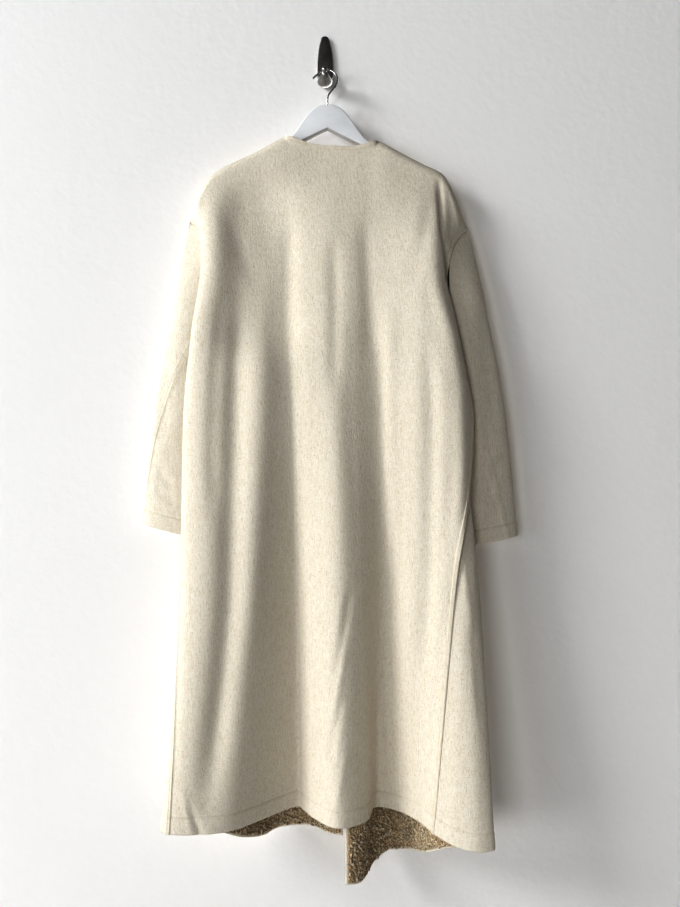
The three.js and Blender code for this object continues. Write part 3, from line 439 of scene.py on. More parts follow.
def grid_quads(columns, rows, closed=False):
    i, j = np.meshgrid(np.arange(columns if closed else columns - 1), np.arange(rows - 1), indexing="ij")
    beside = (i + 1) % columns
    corners = [i * rows + j, beside * rows + j, beside * rows + j + 1, i * rows + j + 1]
    return np.stack(corners, -1).reshape(-1, 4)


def hung(points):
    """Points in metres, moved sideways to where the coat hangs."""
    return np.asarray(points).reshape(-1, 3) * MM + (HANG_X * MM, 0, 0)


def unevenness(grid, size, stretch, seed):
    """Soft noise at each point of a grid, drawn out along the height."""
    values = np.empty(grid.shape[:2])
    for i in range(grid.shape[0]):
        for j in range(grid.shape[1]):
            x, y, z = grid[i, j]
            values[i, j] = noise.noise(Vector((x / size + seed, y / size, z / (size * stretch))))
    return values


def waves(grid, *layers):
    return sum(rise * unevenness(grid, size, stretch, seed) for rise, size, stretch, seed in layers)


def crease_height(grid, creases):
    """Sums the creases: each a soft trough or ridge along a path of points in x and z."""
    height = np.zeros(grid.shape[:2])
    x, z = grid[:, :, 0], grid[:, :, 2]
    for name, path, half_width, rise, lean in creases:
        lengths = [math.dist(p, q) for p, q in zip(path, path[1:])]
        nearest = np.full(x.shape, np.inf)
        along = np.zeros(x.shape)
        side = np.zeros(x.shape)
        for k, ((x0, z0), (x1, z1)) in enumerate(zip(path, path[1:])):
            ux, uz = (x1 - x0) / lengths[k], (z1 - z0) / lengths[k]
            run = (x - x0) * ux + (z - z0) * uz
            held = np.clip(run, 0, lengths[k])
            away = np.hypot(x - x0 - held * ux, z - z0 - held * uz)
            closer = away < nearest
            nearest = np.where(closer, away, nearest)
            along = np.where(closer, (sum(lengths[:k]) + held) / sum(lengths), along)
            side = np.where(closer, np.copysign(away, (x - x0) * -uz + (z - z0) * ux) / half_width, side)
        ends = smooth(along / CREASE_END) * smooth((1 - along) / CREASE_END)
        height += rise * ends * np.exp(-side * side) * (1 + lean * side)
    return height


def add_object(name, data):
    made = bpy.data.objects.new(name, data)
    bpy.context.scene.collection.objects.link(made)
    return made


def worked_out(name, source):
    """Replaces an object by the plain mesh that its curve or its modifiers make."""
    graph = bpy.context.evaluated_depsgraph_get()
    mesh = bpy.data.meshes.new_from_object(source.evaluated_get(graph))
    mesh.name = name
    bpy.data.objects.remove(source)
    return mesh


def face_outward(mesh):
    """Welds points that meet and turns every face outward."""
    made = bmesh.new()
    made.from_mesh(mesh)
    bmesh.ops.remove_doubles(made, verts=made.verts, dist=1e-6)
    bmesh.ops.recalc_face_normals(made, faces=made.faces)
    made.to_mesh(mesh)
    made.free()


def ring_faces(rings, sides):
    """The faces between rings of points that follow each other, and one at each end."""
    faces = []
    for r in range(rings - 1):
        for k in range(sides):
            a, b = r * sides + k, r * sides + (k + 1) % sides
            faces.append((a, b, b + sides, a + sides))
    last = (rings - 1) * sides
    faces.append(tuple(range(sides - 1, -1, -1)))
    faces.append(tuple(last + k for k in range(sides)))
    return faces


def new_mesh_object(name, points, faces, uv=None):
    mesh = bpy.data.meshes.new(name)
    mesh.from_pydata([tuple(p) for p in points], [], faces)
    if uv is not None:
        layer = mesh.uv_layers.new(name="cloth")
        index = np.empty(len(mesh.loops), dtype=np.int32)
        mesh.loops.foreach_get("vertex_index", index)
        layer.data.foreach_set("uv", np.asarray(uv, dtype=np.float32)[index].ravel())
    mesh.shade_smooth()
    mesh.update()
    return add_object(name, mesh)


def shell(name, outer, inner, flip, closed=False):
    """A closed thin wall between two grids of points, with the cloth's own plane in its UV map."""
    columns, rows = outer.shape[:2]
    count = columns * rows
    points = hung([outer, inner])
    quads = grid_quads(columns, rows, closed)
    faces = [quads, quads[:, ::-1] + count]

    def strip(p, q):
        faces.append(np.stack([q, p, p + count, q + count], -1))

    k = np.arange(columns if closed else columns - 1)
    strip(k * rows, ((k + 1) % columns) * rows)
    strip(((k + 1) % columns) * rows + rows - 1, k * rows + rows - 1)
    if not closed:
        k = np.arange(rows - 1)
        strip(k + 1, k)
        strip((columns - 1) * rows + k, (columns - 1) * rows + k + 1)
    faces = np.concatenate(faces)
    if flip:
        faces = faces[:, ::-1]
    u = distance_along(outer, 0) * MM
    v = -distance_along(outer, 1) * MM
    uv = np.stack([u.ravel(), v.ravel()], -1)
    return new_mesh_object(name, points, faces.tolist(), np.concatenate([uv, uv]))


def finish_piece(piece, material, slot, *nodes):
    piece.data.materials.clear()
    piece.data.materials.append(material)
    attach(piece, "root")
    if nodes:
        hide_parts(*nodes)
    return piece


# ------------------------------------------------------------------ materials


def new_material(name, color, roughness, metallic=0.0):
    material = bpy.data.materials.new(name)
    material.use_nodes = True
    shader = material.node_tree.nodes["Principled BSDF"]
    shader.inputs["Base Color"].default_value = (*color, 1)
    shader.inputs["Roughness"].default_value = roughness
    shader.inputs["Metallic"].default_value = metallic
    return material, material.node_tree, shader


def add_node(tree, kind, settings=None, **inputs):
    node = tree.nodes.new(kind)
    for key, value in (settings or {}).items():
        setattr(node, key, value)
    for key, value in inputs.items():
        socket = node.inputs[key.replace("_", " ")]
        if hasattr(value, "is_linked"):
            tree.links.new(value, socket)
        else:
            socket.default_value = value
    return node


def new_group(name, kind, inputs, output):
    """A node group: the tree, its named inputs as they arrive inside, and their identifiers."""
    group = bpy.data.node_groups.new(name, kind)
    identifiers = {}
    for input_name, input_kind in inputs.items():
        socket = group.interface.new_socket(input_name, in_out="INPUT", socket_type="NodeSocket" + input_kind)
        identifiers[input_name] = socket.identifier
    group.interface.new_socket(output[0], in_out="OUTPUT", socket_type="NodeSocket" + output[1])
    return group, group.nodes.new("NodeGroupInput").outputs, identifiers


def end_group(group, name, value):
    group.links.new(value, group.nodes.new("NodeGroupOutput").inputs[name])


def noise_mask_group():
    """Noise at the object's own position, in 1/scale metres, cut between two levels to a 0-1 mask."""
    group, given, _ = new_group("noise mask", "ShaderNodeTree", {
        "Scale": "Vector", "Low": "Float", "High": "Float", "Detail": "Float", "Roughness": "Float"},
        ("Mask", "Float"))
    coordinates = add_node(group, "ShaderNodeTexCoord")
    mapping = add_node(group, "ShaderNodeMapping", Vector=coordinates.outputs["Object"],
                       Scale=given["Scale"])
    field = add_node(group, "ShaderNodeTexNoise", Vector=mapping.outputs["Vector"], Scale=1.0,
                     Detail=given["Detail"], Roughness=given["Roughness"])
    cut = add_node(group, "ShaderNodeMapRange", {"clamp": True}, Value=field.outputs["Fac"],
                   From_Min=given["Low"], From_Max=given["High"])
    end_group(group, "Mask", cut.outputs["Result"])
    return group


NOISE_MASK = noise_mask_group()


def noise_mask(tree, scale, low, high, detail=2.0, rough=0.5):
    """Places the noise mask in a material with its own fineness and levels."""
    placed = add_node(tree, "ShaderNodeGroup", {"node_tree": NOISE_MASK}, Scale=scale, Low=low, High=high,
                      Detail=detail, Roughness=rough)
    return placed.outputs["Mask"]


def mixed(tree, mask, first, second):
    node = add_node(tree, "ShaderNodeMix", {"data_type": "RGBA"})
    for socket, value in ((node.inputs[0], mask), (node.inputs[6], first), (node.inputs[7], second)):
        if hasattr(value, "is_linked"):
            tree.links.new(value, socket)
        else:
            socket.default_value = value if isinstance(value, float) else (*value, 1)
    return node.outputs[2]


def scaled(tree, value, factor):
    node = add_node(tree, "ShaderNodeMath", {"operation": "MULTIPLY"})
    tree.links.new(value, node.inputs[0])
    node.inputs[1].default_value = factor
    return node.outputs[0]


def summed(tree, *values):
    total = values[0]
    for value in values[1:]:
        node = add_node(tree, "ShaderNodeMath", {"operation": "ADD"})
        tree.links.new(total, node.inputs[0])
        tree.links.new(value, node.inputs[1])
        total = node.outputs[0]
    return total


def bumped(tree, shader, height, distance, strength=1.0):
    bump = add_node(tree, "ShaderNodeBump", Height=height, Distance=distance, Strength=strength)
    tree.links.new(bump.outputs["Normal"], shader.inputs["Normal"])


CREAM = (0.762, 0.704, 0.602)
PALE = (0.805, 0.768, 0.695)
FLECK = (0.37, 0.28, 0.175)


def wool_material():
    material, tree, shader = new_material("wool", CREAM, 0.95)
    strands = noise_mask(tree, (400, 400, 60), 0.30, 0.70, 3.0, 0.6)
    color = mixed(tree, strands, CREAM, PALE)
    slub = noise_mask(tree, (520, 520, 130), 0.50, 0.74, 3.0, 0.6)
    color = mixed(tree, scaled(tree, slub, 0.26), color, FLECK)
    cross = noise_mask(tree, (110, 110, 900), 0.54, 0.75, 2.0, 0.6)
    color = mixed(tree, scaled(tree, cross, 0.16), color, FLECK)
    speck = noise_mask(tree, (760, 760, 620), 0.60, 0.72, 1.0)
    color = mixed(tree, scaled(tree, speck, 0.36), color, FLECK)
    tree.links.new(color, shader.inputs["Base Color"])
    yarn = noise_mask(tree, (800, 800, 420), 0.3, 0.7, 4.0, 0.65)
    nap = noise_mask(tree, (260, 260, 120), 0.3, 0.7, 3.0, 0.6)
    height = summed(tree, scaled(tree, yarn, 0.6), scaled(tree, nap, 0.7), scaled(tree, slub, 0.35))
    bumped(tree, shader, height, 0.0005, 0.7)
    shader.inputs["Sheen Weight"].default_value = 0.14
    shader.inputs["Sheen Roughness"].default_value = 0.6
    shader.inputs["Sheen Tint"].default_value = (1.0, 0.97, 0.9, 1)
    shader.inputs["Specular IOR Level"].default_value = 0.2
    return material


def pile_material():
    material, tree, shader = new_material("curly pile", (0.5, 0.4, 0.28), 1.0)
    curl = add_node(tree, "ShaderNodeAttribute", {"attribute_name": "curl"})
    tone = add_node(tree, "ShaderNodeAttribute", {"attribute_name": "tone"})
    patch = noise_mask(tree, (60, 60, 60), 0.35, 0.65, 2.0)
    knots = noise_mask(tree, (260, 260, 260), 0.42, 0.62, 2.0)
    # The ground between the curls is painted darker than the curls: painted shade at the roots of the curls.
    # The knots also vary its tone and raise its bumps.
    ground = mixed(tree, knots, (0.46, 0.34, 0.21), (0.74, 0.62, 0.45))
    yarn = mixed(tree, tone.outputs["Fac"], (0.68, 0.57, 0.42), (0.90, 0.82, 0.68))
    yarn = mixed(tree, scaled(tree, patch, 0.35), yarn, (0.76, 0.65, 0.49))
    tree.links.new(mixed(tree, curl.outputs["Fac"], ground, yarn), shader.inputs["Base Color"])
    fuzz = noise_mask(tree, (900, 900, 900), 0.3, 0.7, 3.0)
    bumped(tree, shader, summed(tree, scaled(tree, knots, 2.0), scaled(tree, fuzz, 0.5)), 0.0009)
    shader.inputs["Sheen Weight"].default_value = 0.15
    shader.inputs["Specular IOR Level"].default_value = 0.15
    return material


def thread_material():
    material, tree, shader = new_material("cream thread", (0.72, 0.65, 0.52), 0.6)
    twist = noise_mask(tree, (1500, 1500, 1500), 0.3, 0.7)
    tree.links.new(mixed(tree, twist, (0.60, 0.52, 0.39), (0.80, 0.74, 0.62)), shader.inputs["Base Color"])
    bumped(tree, shader, twist, 0.0002)
    return material


def paint_material():
    material, tree, shader = new_material("pale grey paint", (0.84, 0.845, 0.85), 0.42)
    brush = noise_mask(tree, (40, 700, 900), 0.3, 0.7, 3.0)
    spots = noise_mask(tree, (30, 30, 30), 0.4, 0.7)
    color = mixed(tree, scaled(tree, brush, 0.5), (0.82, 0.825, 0.835), (0.88, 0.88, 0.885))
    color = mixed(tree, scaled(tree, spots, 0.25), color, (0.72, 0.73, 0.745))
    tree.links.new(color, shader.inputs["Base Color"])
    bumped(tree, shader, brush, 0.00012, 0.6)
    return material


def metal_material(name, color, worn, roughness):
    material, tree, shader = new_material(name, color, roughness, 1.0)
    smear = noise_mask(tree, (90, 90, 60), 0.35, 0.7, 3.0)
    tree.links.new(mixed(tree, smear, color, worn), shader.inputs["Base Color"])
    grain = noise_mask(tree, (900, 900, 200), 0.3, 0.7, 2.0)
    bumped(tree, shader, grain, 0.00004, 0.5)
    return material


# ------------------------------------------------------------------ repeated small things


def dressed(group, instances, material):
    """Makes the instances real, gives them their material and puts them out of the group."""
    real = add_node(group, "GeometryNodeRealizeInstances", Geometry=instances)
    done = add_node(group, "GeometryNodeSetMaterial", Geometry=real.outputs["Geometry"], Material=material)
    end_group(group, "Geometry", done.outputs["Geometry"])


def stitch_group():
    """Lays a row of short stitches along the edges of a mesh."""
    group, given, identifiers = new_group("stitches", "GeometryNodeTree", {
        "Geometry": "Geometry", "Pitch": "Float", "Length": "Float", "Radius": "Float",
        "Thread": "Material"}, ("Geometry", "Geometry"))
    curve = add_node(group, "GeometryNodeMeshToCurve", Mesh=given["Geometry"])
    even = add_node(group, "GeometryNodeResampleCurve", {"mode": "LENGTH"}, Curve=curve.outputs["Curve"],
                    Length=given["Pitch"])
    ball = add_node(group, "GeometryNodeMeshIcoSphere", Radius=1.0, Subdivisions=1)
    size = add_node(group, "ShaderNodeCombineXYZ", X=given["Length"], Y=given["Radius"],
                    Z=given["Radius"])
    tangent = add_node(group, "GeometryNodeInputTangent")
    turn = add_node(group, "FunctionNodeAlignRotationToVector", {"axis": "X"},
                    Vector=tangent.outputs["Tangent"])
    placed = add_node(group, "GeometryNodeInstanceOnPoints", Points=even.outputs["Curve"],
                      Instance=ball.outputs["Mesh"], Rotation=turn.outputs["Rotation"],
                      Scale=size.outputs["Vector"])
    dressed(group, placed.outputs["Instances"], given["Thread"])
    return group, identifiers


FULL_TURN = 6.283
CURL_SIZES = (0.8, 1.3)
CURL_SPACING = 0.0049
CURL_RADIUS = 0.0024
YARN_RADIUS = 0.0014


def curl_group():
    """Strews short curled yarns over a mesh, as thick as its 'pile' attribute says."""
    group, given, identifiers = new_group("pile curls", "GeometryNodeTree", {
        "Geometry": "Geometry", "Spacing": "Float", "Curl Radius": "Float", "Yarn Radius": "Float",
        "Seed": "Int", "Pile": "Material"}, ("Geometry", "Geometry"))
    amount = add_node(group, "GeometryNodeInputNamedAttribute", {"data_type": "FLOAT"}, Name="pile")
    points = add_node(group, "GeometryNodeDistributePointsOnFaces", {"distribute_method": "POISSON"},
                      Mesh=given["Geometry"], Distance_Min=given["Spacing"],
                      Density_Max=90000.0, Density_Factor=amount.outputs["Attribute"],
                      Seed=given["Seed"])
    spiral = add_node(group, "GeometryNodeCurveSpiral", Resolution=5, Rotations=1.1,
                      Start_Radius=given["Curl Radius"], End_Radius=0.0009, Height=0.0022)
    section = add_node(group, "GeometryNodeCurvePrimitiveCircle", {"mode": "RADIUS"}, Resolution=4,
                       Radius=given["Yarn Radius"])
    yarn = add_node(group, "GeometryNodeCurveToMesh", Curve=spiral.outputs["Curve"],
                    Profile_Curve=section.outputs["Curve"])
    yarn.inputs["Fill Caps"].default_value = True
    # The curls carry curl = 1 and the ground none, so the material paints the ground darker, as painted shade
    # under the curls.
    marked = add_node(group, "GeometryNodeStoreNamedAttribute", {"data_type": "FLOAT", "domain": "POINT"},
                      Geometry=yarn.outputs["Mesh"], Name="curl")
    marked.inputs["Value"].default_value = 1.0
    turn = add_node(group, "FunctionNodeRandomValue", {"data_type": "FLOAT_VECTOR"},
                    Seed=given["Seed"])
    turn.inputs[0].default_value = (0, 0, 0)
    turn.inputs[1].default_value = (FULL_TURN, FULL_TURN, FULL_TURN)
    size = add_node(group, "FunctionNodeRandomValue", {"data_type": "FLOAT"}, Seed=given["Seed"])
    size.inputs[2].default_value, size.inputs[3].default_value = CURL_SIZES
    placed = add_node(group, "GeometryNodeInstanceOnPoints", Points=points.outputs["Points"],
                      Instance=marked.outputs["Geometry"])
    group.links.new(turn.outputs[0], placed.inputs["Rotation"])
    group.links.new(size.outputs[1], placed.inputs["Scale"])
    shade = add_node(group, "FunctionNodeRandomValue", {"data_type": "FLOAT"}, Seed=given["Seed"])
    toned = add_node(group, "GeometryNodeStoreNamedAttribute", {"data_type": "FLOAT", "domain": "INSTANCE"},
                     Geometry=placed.outputs["Instances"], Name="tone")
    group.links.new(shade.outputs[1], toned.inputs["Value"])
    dressed(group, toned.outputs["Geometry"], given["Pile"])
    return group, identifiers


def grown(name, source, group, identifiers, values):
    """Runs a node group on a source mesh object and keeps the result as a plain mesh piece."""
    modifier = source.modifiers.new(name, "NODES")
    modifier.node_group = group
    for key, value in values.items():
        modifier[identifiers[key]] = value
    return add_object(name, worked_out(name, source))


def lines_object(name, lines):
    """A mesh of edges through lists of points, in millimetres."""
    points, edges = [], []
    for line in lines:
        start = len(points)
        points += line
        edges += [(k, k + 1) for k in range(start, len(points) - 1)]
    mesh = bpy.data.meshes.new(name)
    mesh.from_pydata(hung(points).tolist(), edges, [])
    return add_object(name, mesh)


WOOL_MATERIAL = wool_material()
PILE_MATERIAL = pile_material()
THREAD_MATERIAL = thread_material()
STITCHES, STITCH_INPUTS = stitch_group()
CURLS, CURL_INPUTS = curl_group()


def stitched(name, lines):
    source = lines_object(name + "_lines", lines)
    piece = grown(name, source, STITCHES, STITCH_INPUTS, {
        "Pitch": STITCH_PITCH * MM, "Length": STITCH_LENGTH * MM, "Radius": STITCH_RADIUS * MM,
        "Thread": THREAD_MATERIAL})
    finish_piece(piece, THREAD_MATERIAL, "wool")


# ------------------------------------------------------------------ creases, in millimetres
# name, path of points in x and z, half width, rise off the cloth, lean to one side

BACK_CREASES = [
    ("left dip", [(-150, -400), (-152, -560), (-154, -685), (-159, -950), (-170, -1085), (-200, -1340)],
     21, -12.0, 0.0),
    ("left yoke slope", [(-112, -205), (-107, -400), (-98, -570)], 54, -17.0, 0.0),
    ("left yoke dip", [(-152, -220), (-155, -570)], 26, -6.0, 0.0),
    ("right shoulder groove", [(192, -222), (194, -271), (196, -323), (204, -375), (212, -450)],
     5, -6.0, 0.0),
    ("right edge swell", [(176, -380), (188, -440), (208, -517), (221, -590), (222, -720), (221, -850),
                          (219, -980)], 13, 7.5, 0.0),
    ("valley rise", [(104, -420), (107, -600), (112, -760), (118, -930)], 13, 4.0, 0.0),
    ("left swell", [(-96, -330), (-104, -500), (-112, -700), (-118, -900), (-128, -1100)], 20, 3.0, 0.0),
    ("left edge fold", [(-176, -400), (-186, -560), (-190, -700), (-186, -840)], 13, -3.5, 0.2),
    ("ridge crossing a", [(40, -920), (12, -1090)], 7, -2.0, 0.5),
    ("ridge crossing b", [(30, -1010), (8, -1160)], 6, 1.8, 0.4),
    ("ridge crossing c", [(26, -1100), (2, -1230)], 7, -2.0, -0.4),
    ("ridge crossing d", [(34, -1180), (14, -1290)], 6, 1.5, 0.4),
    ("ridge furrow", [(10, -330), (14, -450), (12, -620)], 12, -3.0, 0.0),
    ("right dip", [(166, -480), (172, -640), (168, -900), (158, -1130)], 14, -4.5, 0.2),
    ("hem left tuck", [(-226, -1270), (-200, -1330)], 6, -2.2, 0.6),
    ("hem left tuck b", [(-236, -1240), (-214, -1322)], 5, 1.6, 0.4),
    ("shoulder pull left", [(-190, -265), (-120, -420)], 16, -1.6, 0.3),
    ("shoulder pull right", [(176, -275), (140, -430)], 14, -2.0, 0.3),
    ("yoke fold left", [(-62, -300), (-66, -420), (-66, -560)], 12, -2.4, 0.2),
    ("yoke fold right", [(62, -300), (70, -420), (74, -560)], 14, -2.4, 0.2),
]
FRONT_CREASES = [
    ("pull from shoulder", [(-120, -230), (-90, -470)], 16, -2.0, 0.3),
    ("long fold", [(-60, -420), (-56, -800), (-58, -1300)], 20, -2.5, 0.2),
    ("right pull", [(130, -240), (100, -480)], 16, -2.0, 0.3),
    ("right long fold", [(96, -430), (100, -900), (112, -1320)], 18, -2.5, 0.2),
    ("flap wrinkle a", [(236, -960), (248, -1150)], 8, -1.8, 0.5),
    ("flap wrinkle b", [(218, -860), (236, -1010)], 7, 1.6, 0.4),
]
SLEEVE_CREASES = [
    ("left elbow a", [(-296, -735), (-262, -770)], 8, -2.6, 0.5),
    ("left elbow b", [(-300, -765), (-258, -790)], 7, -2.2, 0.4),
    ("left long", [(-270, -420), (-282, -560), (-286, -700)], 14, -2.6, 0.3),
    ("right elbow a", [(312, -700), (276, -745)], 9, -2.4, 0.5),
    ("right elbow b", [(318, -760), (280, -795)], 7, -2.0, 0.4),
    ("right long", [(262, -430), (276, -560), (286, -690)], 14, -2.4, 0.3),
]

# ------------------------------------------------------------------ the coat


def hem_relief(to_hem, depth):
    """The turned hem: one layer thicker, with a drawn-in line where it is caught."""
    return (0.7 * smooth((depth - to_hem) / 1.5 + 0.5) - 0.8 * np.exp(-((to_hem - depth) / 1.6) ** 2)
            - 0.5 * smooth(1 - to_hem / 2.0))


def line_on(grid, normals, distance, target, lift, keep):
    """The points where a grid's distance reaches a target, column by column or row by row."""
    line = []
    for k in range(distance.shape[1]):
        if not keep[k]:
            continue
        place = np.interp(target, distance[:, k], np.arange(distance.shape[0]))
        low = min(int(place), distance.shape[0] - 2)
        share = place - low
        point = lerp(grid[low, k], grid[low + 1, k], share)
        normal = lerp(normals[low, k], normals[low + 1, k], share)
        line.append(tuple(point + normal * lift))
    return line


def wool_shell(name, base, normals, height, flip, closed=False):
    """A wool piece: its outer face rises and sinks by a height, its inner face only sinks."""
    outer = base + normals * height[:, :, None]
    inner = base + normals * (np.minimum(height, 0) - WOOL)[:, :, None]
    piece = shell(name + "_wool", outer, inner, flip, closed)
    finish_piece(piece, WOOL_MATERIAL, "wool", name)
    return outer, grid_normals(outer, flip, closed)


def make_panel(name, creases):
    panel = PANELS[name]
    is_front = panel["front"]
    rows = row_shares(*WOOL_GRID["rows"])
    places = column_places(panel, WOOL_GRID["column"])
    base = panel_points(panel, rows, places)
    normals = grid_normals(base, panel["flip"])
    across = distance_along(base, 0)
    down = distance_along(base, 1)
    to_hem = down[:, -1:] - down
    to_last = across[-1:] - across
    on_armhole = np.array([lower == 0 for upper, lower in rows])
    band = smooth((SEAM_BAND - across) / SEAM_EDGE)
    pucker = np.exp(-across / PUCKER_REACH)
    if is_front:
        band = band * on_armhole
    else:
        band = np.maximum(band, smooth((SEAM_BAND - to_last) / SEAM_EDGE))
        pucker = pucker + np.exp(-to_last / PUCKER_REACH)
    height = crease_height(base, creases) + SEAM_RAISE * band + hem_relief(to_hem, HEM_DEPTH)
    height += waves(base, *PANEL_WAVES) + pucker * waves(base, PANEL_PUCKER)
    on_neck = np.array([panel["top"](x)[3] < 0.5 for x in np.interp(
        places, np.arange(len(panel["folds"])), [f["top"] for f in panel["folds"]])])
    height += 0.5 * on_neck[:, None] * smooth((NECK_STITCH + 1 - down) / SEAM_EDGE)
    fade = smooth(down / FADE_IN["panel"])
    height = height * (fade if is_front else np.where(on_neck[:, None], 1.0, fade))
    outer, shown = wool_shell(name, base, normals, height, panel["flip"])

    everywhere = np.ones(len(rows), bool)
    sewn = on_armhole if is_front else everywhere
    last_first = (outer[::-1], shown[::-1], to_last[::-1])
    lines = []
    for inset in (STITCH_INSET, SEAM_BAND - STITCH_INSET):
        lines.append(line_on(outer, shown, across, inset, STITCH_LIFT, sewn))
        if not is_front:
            lines.append(line_on(*last_first, inset, STITCH_LIFT, everywhere))
    flipped = np.swapaxes(outer, 0, 1)
    shown_flipped = np.swapaxes(shown, 0, 1)
    every_column = np.ones(len(places), bool)
    lines.append(line_on(flipped[::-1], shown_flipped[::-1], to_hem.T[::-1], HEM_DEPTH, 0.0, every_column))
    lines.append(line_on(flipped, shown_flipped, down.T, NECK_STITCH, STITCH_LIFT, on_neck))
    if is_front:
        lines.append(line_on(*last_first, NECK_STITCH, STITCH_LIFT, everywhere))
    stitched("stitches_" + name, lines)


def make_lining(name, creases, seed, neck_depth):
    """The pile lining of a panel: its ground as a thin wall and real curls where it is seen."""
    panel = PANELS[name]
    rows = row_shares(*LINING_GRID["rows"])
    places = column_places(panel, LINING_GRID["column"])
    base = panel_points(panel, rows, places)
    normals = grid_normals(base, panel["flip"])
    down = distance_along(base, 1)
    on_armhole = np.array([[float(lower == 0)] for upper, lower in rows])
    to_hem = down[:, -1] - LINING_INSET
    kept = base.copy()
    for i in range(len(places)):
        column = down[i]
        target = np.clip(column, LINING_START, to_hem[i])
        for axis in range(3):
            kept[i, :, axis] = np.interp(target, column, base[i, :, axis])
    if panel["front"]:
        edge = kept[-1] - kept[-2]
        share = LINING_INSET / np.linalg.norm(edge, axis=1, keepdims=True)
        kept[-1] -= edge * np.minimum(share, 0.9)
    for edge, beside in ((0, 1),) if panel["front"] else ((0, 1), (-1, -2)):
        step = kept[edge] - kept[beside]
        share = LINING_START / np.maximum(np.linalg.norm(step, axis=1, keepdims=True), 1e-6)
        kept[edge] -= step * np.minimum(share, 0.9) * on_armhole
    kept_normals = grid_normals(kept, panel["flip"])
    bad = np.linalg.norm(kept_normals, axis=2) < 0.5
    kept_normals[bad] = normals[bad]
    sink = np.minimum(crease_height(kept, creases), 0) - 0.4
    behind = kept + kept_normals * (sink - WOOL - LAYER_GAP)[:, :, None]
    ground = kept + kept_normals * (sink - WOOL - LAYER_GAP - LINING + 1.0)[:, :, None]
    piece = shell("lining_" + name + "_ground", behind, ground, panel["flip"])
    finish_piece(piece, PILE_MATERIAL, "pile_lining", "lining_" + name)

    inward = grid_quads(*ground.shape[:2])[:, [1, 0, 3, 2]]
    if panel["flip"]:
        inward = inward[:, ::-1]
    source = new_mesh_object("pile_source", hung(ground), inward.tolist())
    left = down[:, -1:] - down
    depth = PILE_DEPTH["front" if panel["front"] else "back"]
    thick = smooth((depth - left) / PILE_FADE["hem"])
    top = smooth((neck_depth - down) / PILE_FADE["neck"])
    amount = np.clip(np.maximum(thick, top), PILE_LEAST, 1.0)
    layer = source.data.attributes.new("pile", "FLOAT", "POINT")
    layer.data.foreach_set("value", amount.ravel().astype(np.float32))
    curls = grown("pile_" + name, source, CURLS, CURL_INPUTS, {
        "Spacing": CURL_SPACING, "Curl Radius": CURL_RADIUS, "Yarn Radius": YARN_RADIUS, "Seed": seed,
        "Pile": PILE_MATERIAL})
    finish_piece(curls, PILE_MATERIAL, "pile_lining")


# the felled seam of each sleeve: share of the sleeve's length, angle round it in degrees
SLEEVE_SEAMS = {
    "left": [(0, 180), (0.25, 118), (0.40, 92), (0.52, 70), (0.60, 57), (0.72, 38), (0.83, 26), (1, 4)],
    "right": [(0, 180), (0.30, 140), (0.50, 112), (0.66, 91), (0.76, 77), (0.84, 67), (0.92, 56), (1, 46)],
}


def make_sleeve(name, side_name, flip, creases):
    armhole = ARMHOLES[side_name]
    sleeve = SLEEVES[side_name]
    count = SLEEVE_COLUMNS
    angles = [2 * math.pi * k / count for k in range(count)]
    long_part = 1 - SLEEVE_CUFF_SHARE
    rings = np.concatenate([long_part * np.linspace(0, 1, SLEEVE_ROWS["long"]) ** SLEEVE_CROWDING,
                            np.linspace(long_part, 1, SLEEVE_ROWS["cuff"])[1:]])
    base = sleeve_points(armhole, sleeve, angles, rings)
    normals = grid_normals(base, flip, closed=True)
    down = distance_along(base, 1)
    to_hem = down[:, -1:] - down
    shares, degrees = zip(*SLEEVE_SEAMS[side_name])
    seam_angle = np.radians(np.interp(rings, shares, degrees))
    radius = np.linalg.norm(base - base.mean(axis=0, keepdims=True), axis=2)
    off_seam = np.abs(np.array(angles)[:, None] - seam_angle[None, :]) * radius
    band = smooth((SEAM_BAND / 2 - off_seam) / 1.4 + 0.3)
    height = crease_height(base, creases) + 0.8 * band + hem_relief(to_hem, CUFF_DEPTH)
    height += waves(base, *SLEEVE_WAVES)
    height += np.exp(-off_seam / SLEEVE_PUCKER_REACH) * waves(base, SLEEVE_PUCKER)
    height += np.exp(-down / SLEEVE_PUCKER_REACH) * waves(base, ARMHOLE_PUCKER)
    height = height * smooth(down / FADE_IN["sleeve"])
    outer, shown = wool_shell(name, base, normals, height, flip, closed=True)

    lines = []
    for side in (-SLEEVE_STITCH_OFFSET, SLEEVE_STITCH_OFFSET):
        line = []
        for j in range(2, len(rings)):
            angle = seam_angle[j] + side / radius[:, j].mean()
            place = (angle / (2 * math.pi) * count) % count
            low = int(place)
            point = lerp(outer[low, j], outer[(low + 1) % count, j], place - low)
            line.append(tuple(point + shown[low, j] * STITCH_LIFT))
        lines.append(line)
    flipped = np.swapaxes(outer, 0, 1)[::-1]
    shown_flipped = np.swapaxes(shown, 0, 1)[::-1]
    ring = line_on(flipped, shown_flipped, to_hem.T[::-1], CUFF_DEPTH, 0.0, np.ones(count, bool))
    lines.append(ring + ring[:1])
    stitched("stitches_" + name, lines)


make_panel("back", BACK_CREASES)
make_panel("front_left", FRONT_CREASES)
make_panel("front_right", FRONT_CREASES)
make_sleeve("sleeve_left", "left", True, SLEEVE_CREASES)
make_sleeve("sleeve_right", "right", False, SLEEVE_CREASES)
make_lining("back", BACK_CREASES, 3, 70.0)
make_lining("front_left", FRONT_CREASES, 5, 10.0)
make_lining("front_right", FRONT_CREASES, 8, 10.0)

# ------------------------------------------------------------------ hanger and hooks


